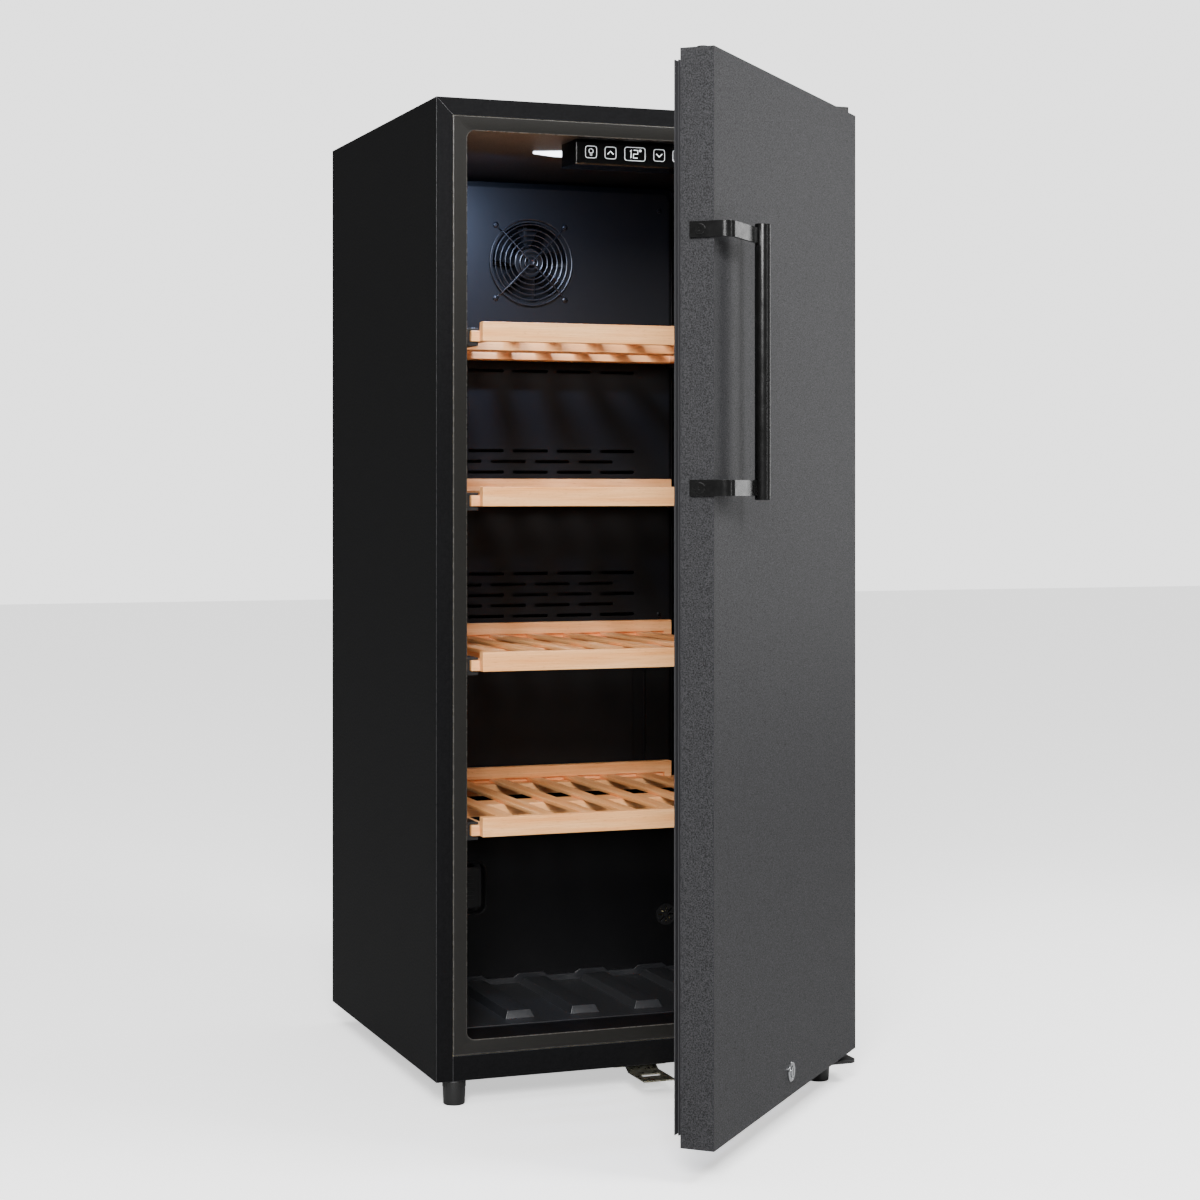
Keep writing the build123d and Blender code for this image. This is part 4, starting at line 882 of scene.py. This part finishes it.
rib = add(grip, "GeometryNodeMeshCube", {"Size": given["Rib"]})
laid = add(grip, "GeometryNodeInstanceOnPoints", {
    "Points": moved.outputs["Geometry"], "Instance": rib.outputs["Mesh"],
    "Rotation": turned.outputs["Rotation"]})
close_tree(grip, laid.outputs["Instances"], given["Material"])

stud_radius = 4 * mm
grip_count = 24
grip_rib = (1.2 * mm, 1.3 * mm, 6.5 * mm)
for node in ("front_foot_left", "front_foot_right"):
    low, high = (Vector(corner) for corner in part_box(node))
    middle = Vector(((low.x + high.x) / 2, (low.y + high.y) / 2, 0))
    widest = (high.x - low.x) / 2
    top = high.z - 8 * mm
    pad = lathe(node + "_pad", [
        (0, 0), (12.6 * mm, 0), (13.4 * mm, 0.8 * mm), (13.7 * mm, 5 * mm),
        (14.2 * mm, top - 11 * mm), (14.2 * mm, top - 10 * mm), (widest - 0.8 * mm, top - 9 * mm),
        (widest - 0.8 * mm, top - 1 * mm), (widest - 1.6 * mm, top), (stud_radius, top),
        (stud_radius, high.z), (0, high.z)], middle, (0, 0, 1), 48)
    grip_ribs = grown(node + "_ribs", grip, {
        "Count": grip_count, "Radius": widest - 0.9 * mm, "Rib": grip_rib,
        "Centre": (middle.x, middle.y, top - 5 * mm), "Material": cap_plastic})
    show(merged(node + "_moulded", [pad, grip_ribs]), cap_plastic, [node])
eased("rear_feet", cap_plastic, 0.8 * mm)

# ---------------------------------------------------------------------------------------------
# Rear panel and machine bay: galvanised steel sheets with the spangle of hot dipping. Screws
# with cross recesses hold the rear panel along its edges.
# ---------------------------------------------------------------------------------------------
galvanised, tree, shader = surface("galvanised_sheet", Metallic=1.0)
place = add(tree, "ShaderNodeTexCoord")
# The spangle's crystals are about 9 mm wide.
crystals = add(tree, "ShaderNodeTexVoronoi", {
    "Vector": place.outputs["Object"], "Scale": 1 / (9 * mm)})
tone = add(tree, "ShaderNodeSeparateColor", {"Color": crystals.outputs["Color"]})
tree.links.new(ramp(tree, tone.outputs["Red"], linear("#85888b"), linear("#a9acaf")),
               shader.inputs["Base Color"])
tree.links.new(spread(tree, tone.outputs["Green"], 0.32, 0.46), shader.inputs["Roughness"])
coat("rear_panel", galvanised)
coat("machine_bay_plate", galvanised)

plain_screw = mottled(
    "zinc_plated_steel", 0.5 * mm, ("#9a9da0", "#babcbe"), (0.25, 0.4), Metallic=1.0)

rear_head = cross_head("rear_screw_head", 3.6 * mm, 1.9 * mm, (0, 1, 0))
panel_low, panel_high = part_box("rear_panel")
edge_inset = 12 * mm
screw_rows = 8
screw_columns = 4
panel_y = panel_high[1]
left, right = panel_low[0] + edge_inset, panel_high[0] - edge_inset
bottom, top = panel_low[2] + edge_inset, panel_high[2] - edge_inset
seats = []
for i in range(screw_rows):
    z = bottom + (top - bottom) * i / (screw_rows - 1)
    seats += [(left, panel_y, z), (right, panel_y, z)]
for i in range(1, screw_columns - 1):
    x = left + (right - left) * i / (screw_columns - 1)
    seats += [(x, panel_y, bottom), (x, panel_y, top)]
rear_screws = grown(
    "rear_panel_screws", screws, {"Head": rear_head, "Material": plain_screw}, seats)
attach(rear_screws, "cabinet")
bpy.data.objects.remove(rear_head)

# ---------------------------------------------------------------------------------------------
# Compressor and its fittings: a pot drawn from steel sheet and painted black, on rubber
# mounts, with copper pipes, a clipped relay box, a melt water tray and the mains inlet.
# ---------------------------------------------------------------------------------------------
pot_paint = mottled(
    "baked_enamel_black", 3.0 * mm, ("#0b0b0c", "#131314"), (0.2, 0.32), height=0.05 * mm,
    strength=0.5, IOR=1.5)
eased("compressor", pot_paint, 0)

copper = mottled(
    "drawn_copper", 10 * mm, ("#9c5a3a", "#c98a64"), (0.24, 0.4), span=(0.3, 0.7), Metallic=1.0)
eased("refrigerant_pipes", copper, 0)
coat("condenser_tubes", copper)

for name in ("relay_box", "evaporation_tray", "power_inlet"):
    eased(name, cap_plastic, 0.6 * mm)
coat("compressor_mounts", seal_vinyl)

# ---------------------------------------------------------------------------------------------
# Insulation: rigid polyurethane foam, blown between shell and liner and inside the door.
# ---------------------------------------------------------------------------------------------
foam = mottled("rigid_polyurethane_foam", 2.0 * mm, ("#d9c690", "#eadcae"), (0.8, 0.95), IOR=1.45)
coat("cabinet_foam", foam)
coat("door_foam", foam)

# ---------------------------------------------------------------------------------------------
# Studio: a pale floor, a pale backdrop, soft lights and the camera. The stage isn't part of the
# cooler.
# ---------------------------------------------------------------------------------------------
floor_paint, tree, shader = surface("studio_floor", Roughness=0.7)
dust = grain(tree, 120 * mm)
tree.links.new(ramp(tree, dust.outputs["Fac"], linear("#f8f8f8"), linear("#fcfcfc")),
               shader.inputs["Base Color"])
# The floor is lit evenly to the eye, and what it throws back up at the cooler is halved.
damped = add(tree, "ShaderNodeBsdfDiffuse", {"Color": linear("#a8a8a8")})
glow = add(tree, "ShaderNodeEmission", {"Color": linear("#ffffff"), "Strength": 0.9})
lit_floor = add(tree, "ShaderNodeAddShader", {0: shader.outputs[0], 1: glow.outputs[0]})
ray = add(tree, "ShaderNodeLightPath")
floor_mix = add(tree, "ShaderNodeMixShader", {
    0: ray.outputs["Is Camera Ray"], 1: damped.outputs[0], 2: lit_floor.outputs[0]})
floor_out = next(node for node in tree.nodes if node.type == "OUTPUT_MATERIAL")
tree.links.new(floor_mix.outputs[0], floor_out.inputs["Surface"])
floor_mesh = bpy.data.meshes.new("studio_floor")
floor_half = 14.0
floor_mesh.from_pydata(
    [(x * floor_half, y * floor_half, 0) for x, y in ((-1, -1), (1, -1), (1, 1), (-1, 1))], [],
    [(0, 1, 2, 3)])
floor = bpy.data.objects.new("studio_floor", floor_mesh)
floor_mesh.materials.append(floor_paint)
bpy.context.collection.objects.link(floor)

world = bpy.data.worlds.new("studio")
bpy.context.scene.world = world
world.use_nodes = True
world.node_tree.nodes.clear()
# The backdrop is bright, but little of it lights the cooler, as in a studio with black flags.
seen = add(world.node_tree, "ShaderNodeBackground", {"Color": linear("#ffffff"), "Strength": 2.4})
fill = add(world.node_tree, "ShaderNodeBackground", {"Color": linear("#ffffff"), "Strength": 0.28})
ray = add(world.node_tree, "ShaderNodeLightPath")
backdrop = add(world.node_tree, "ShaderNodeMixShader", {
    0: ray.outputs["Is Camera Ray"], 1: fill.outputs[0], 2: seen.outputs[0]})
add(world.node_tree, "ShaderNodeOutputWorld", {"Surface": backdrop.outputs[0]})


def soft_light(name, place, target, size, power, colour="#ffffff"):
    """A square area light at a place, turned to its target."""
    data = bpy.data.lights.new(name, "AREA")
    data.shape = "RECTANGLE"
    data.size, data.size_y = size
    data.energy = power
    data.color = linear(colour)[:3]
    light = bpy.data.objects.new(name, data)
    light.location = place
    light.visible_camera = False
    light.rotation_euler = (Vector(target) - Vector(place)).to_track_quat("-Z", "Y").to_euler()
    bpy.context.collection.objects.link(light)


sun_data = bpy.data.lights.new("ceiling_wash", "SUN")
sun_data.energy = 2.2
sun_data.angle = math.radians(60)
bpy.context.collection.objects.link(bpy.data.objects.new("ceiling_wash", sun_data))
soft_light("front", (-1.4, -3.0, 2.2), (0, 0, 0.8), (1.2, 1.4), 250)
soft_light("right_side", (1.3, -1.5, 2.6), (0.1, -0.2, 1.2), (0.8, 0.6), 75)
soft_light("door_strip", (1.45, -1.95, 1.15), (-0.1, -0.45, 1.0), (0.12, 1.6), 7)
soft_light("right_back", (2.0, 0.55, 1.15), (-0.1, -0.45, 1.0), (0.5, 1.5), 9)
lens_low, lens_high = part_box("lamp_lens")
lamp_y = (lens_low[1] + lens_high[1]) / 2
soft_light("cooler_lamp", (-0.11, lamp_y, lens_low[2] - 8 * mm), (-0.14, lamp_y + 0.1, 0.8),
           (0.08, 0.03), 5.0, "#b4ccff")

lens = bpy.data.cameras.new("camera")
lens.sensor_width = 36
lens.lens = 73.5
lens.shift_y = -0.0898
lens.clip_end = 60
camera = bpy.data.objects.new("camera", lens)
camera.location = (-1.1395, -2.9419, 0.7598)
camera.rotation_euler = (math.radians(90), 0, math.radians(-20.435))
bpy.context.collection.objects.link(camera)
bpy.context.scene.camera = camera
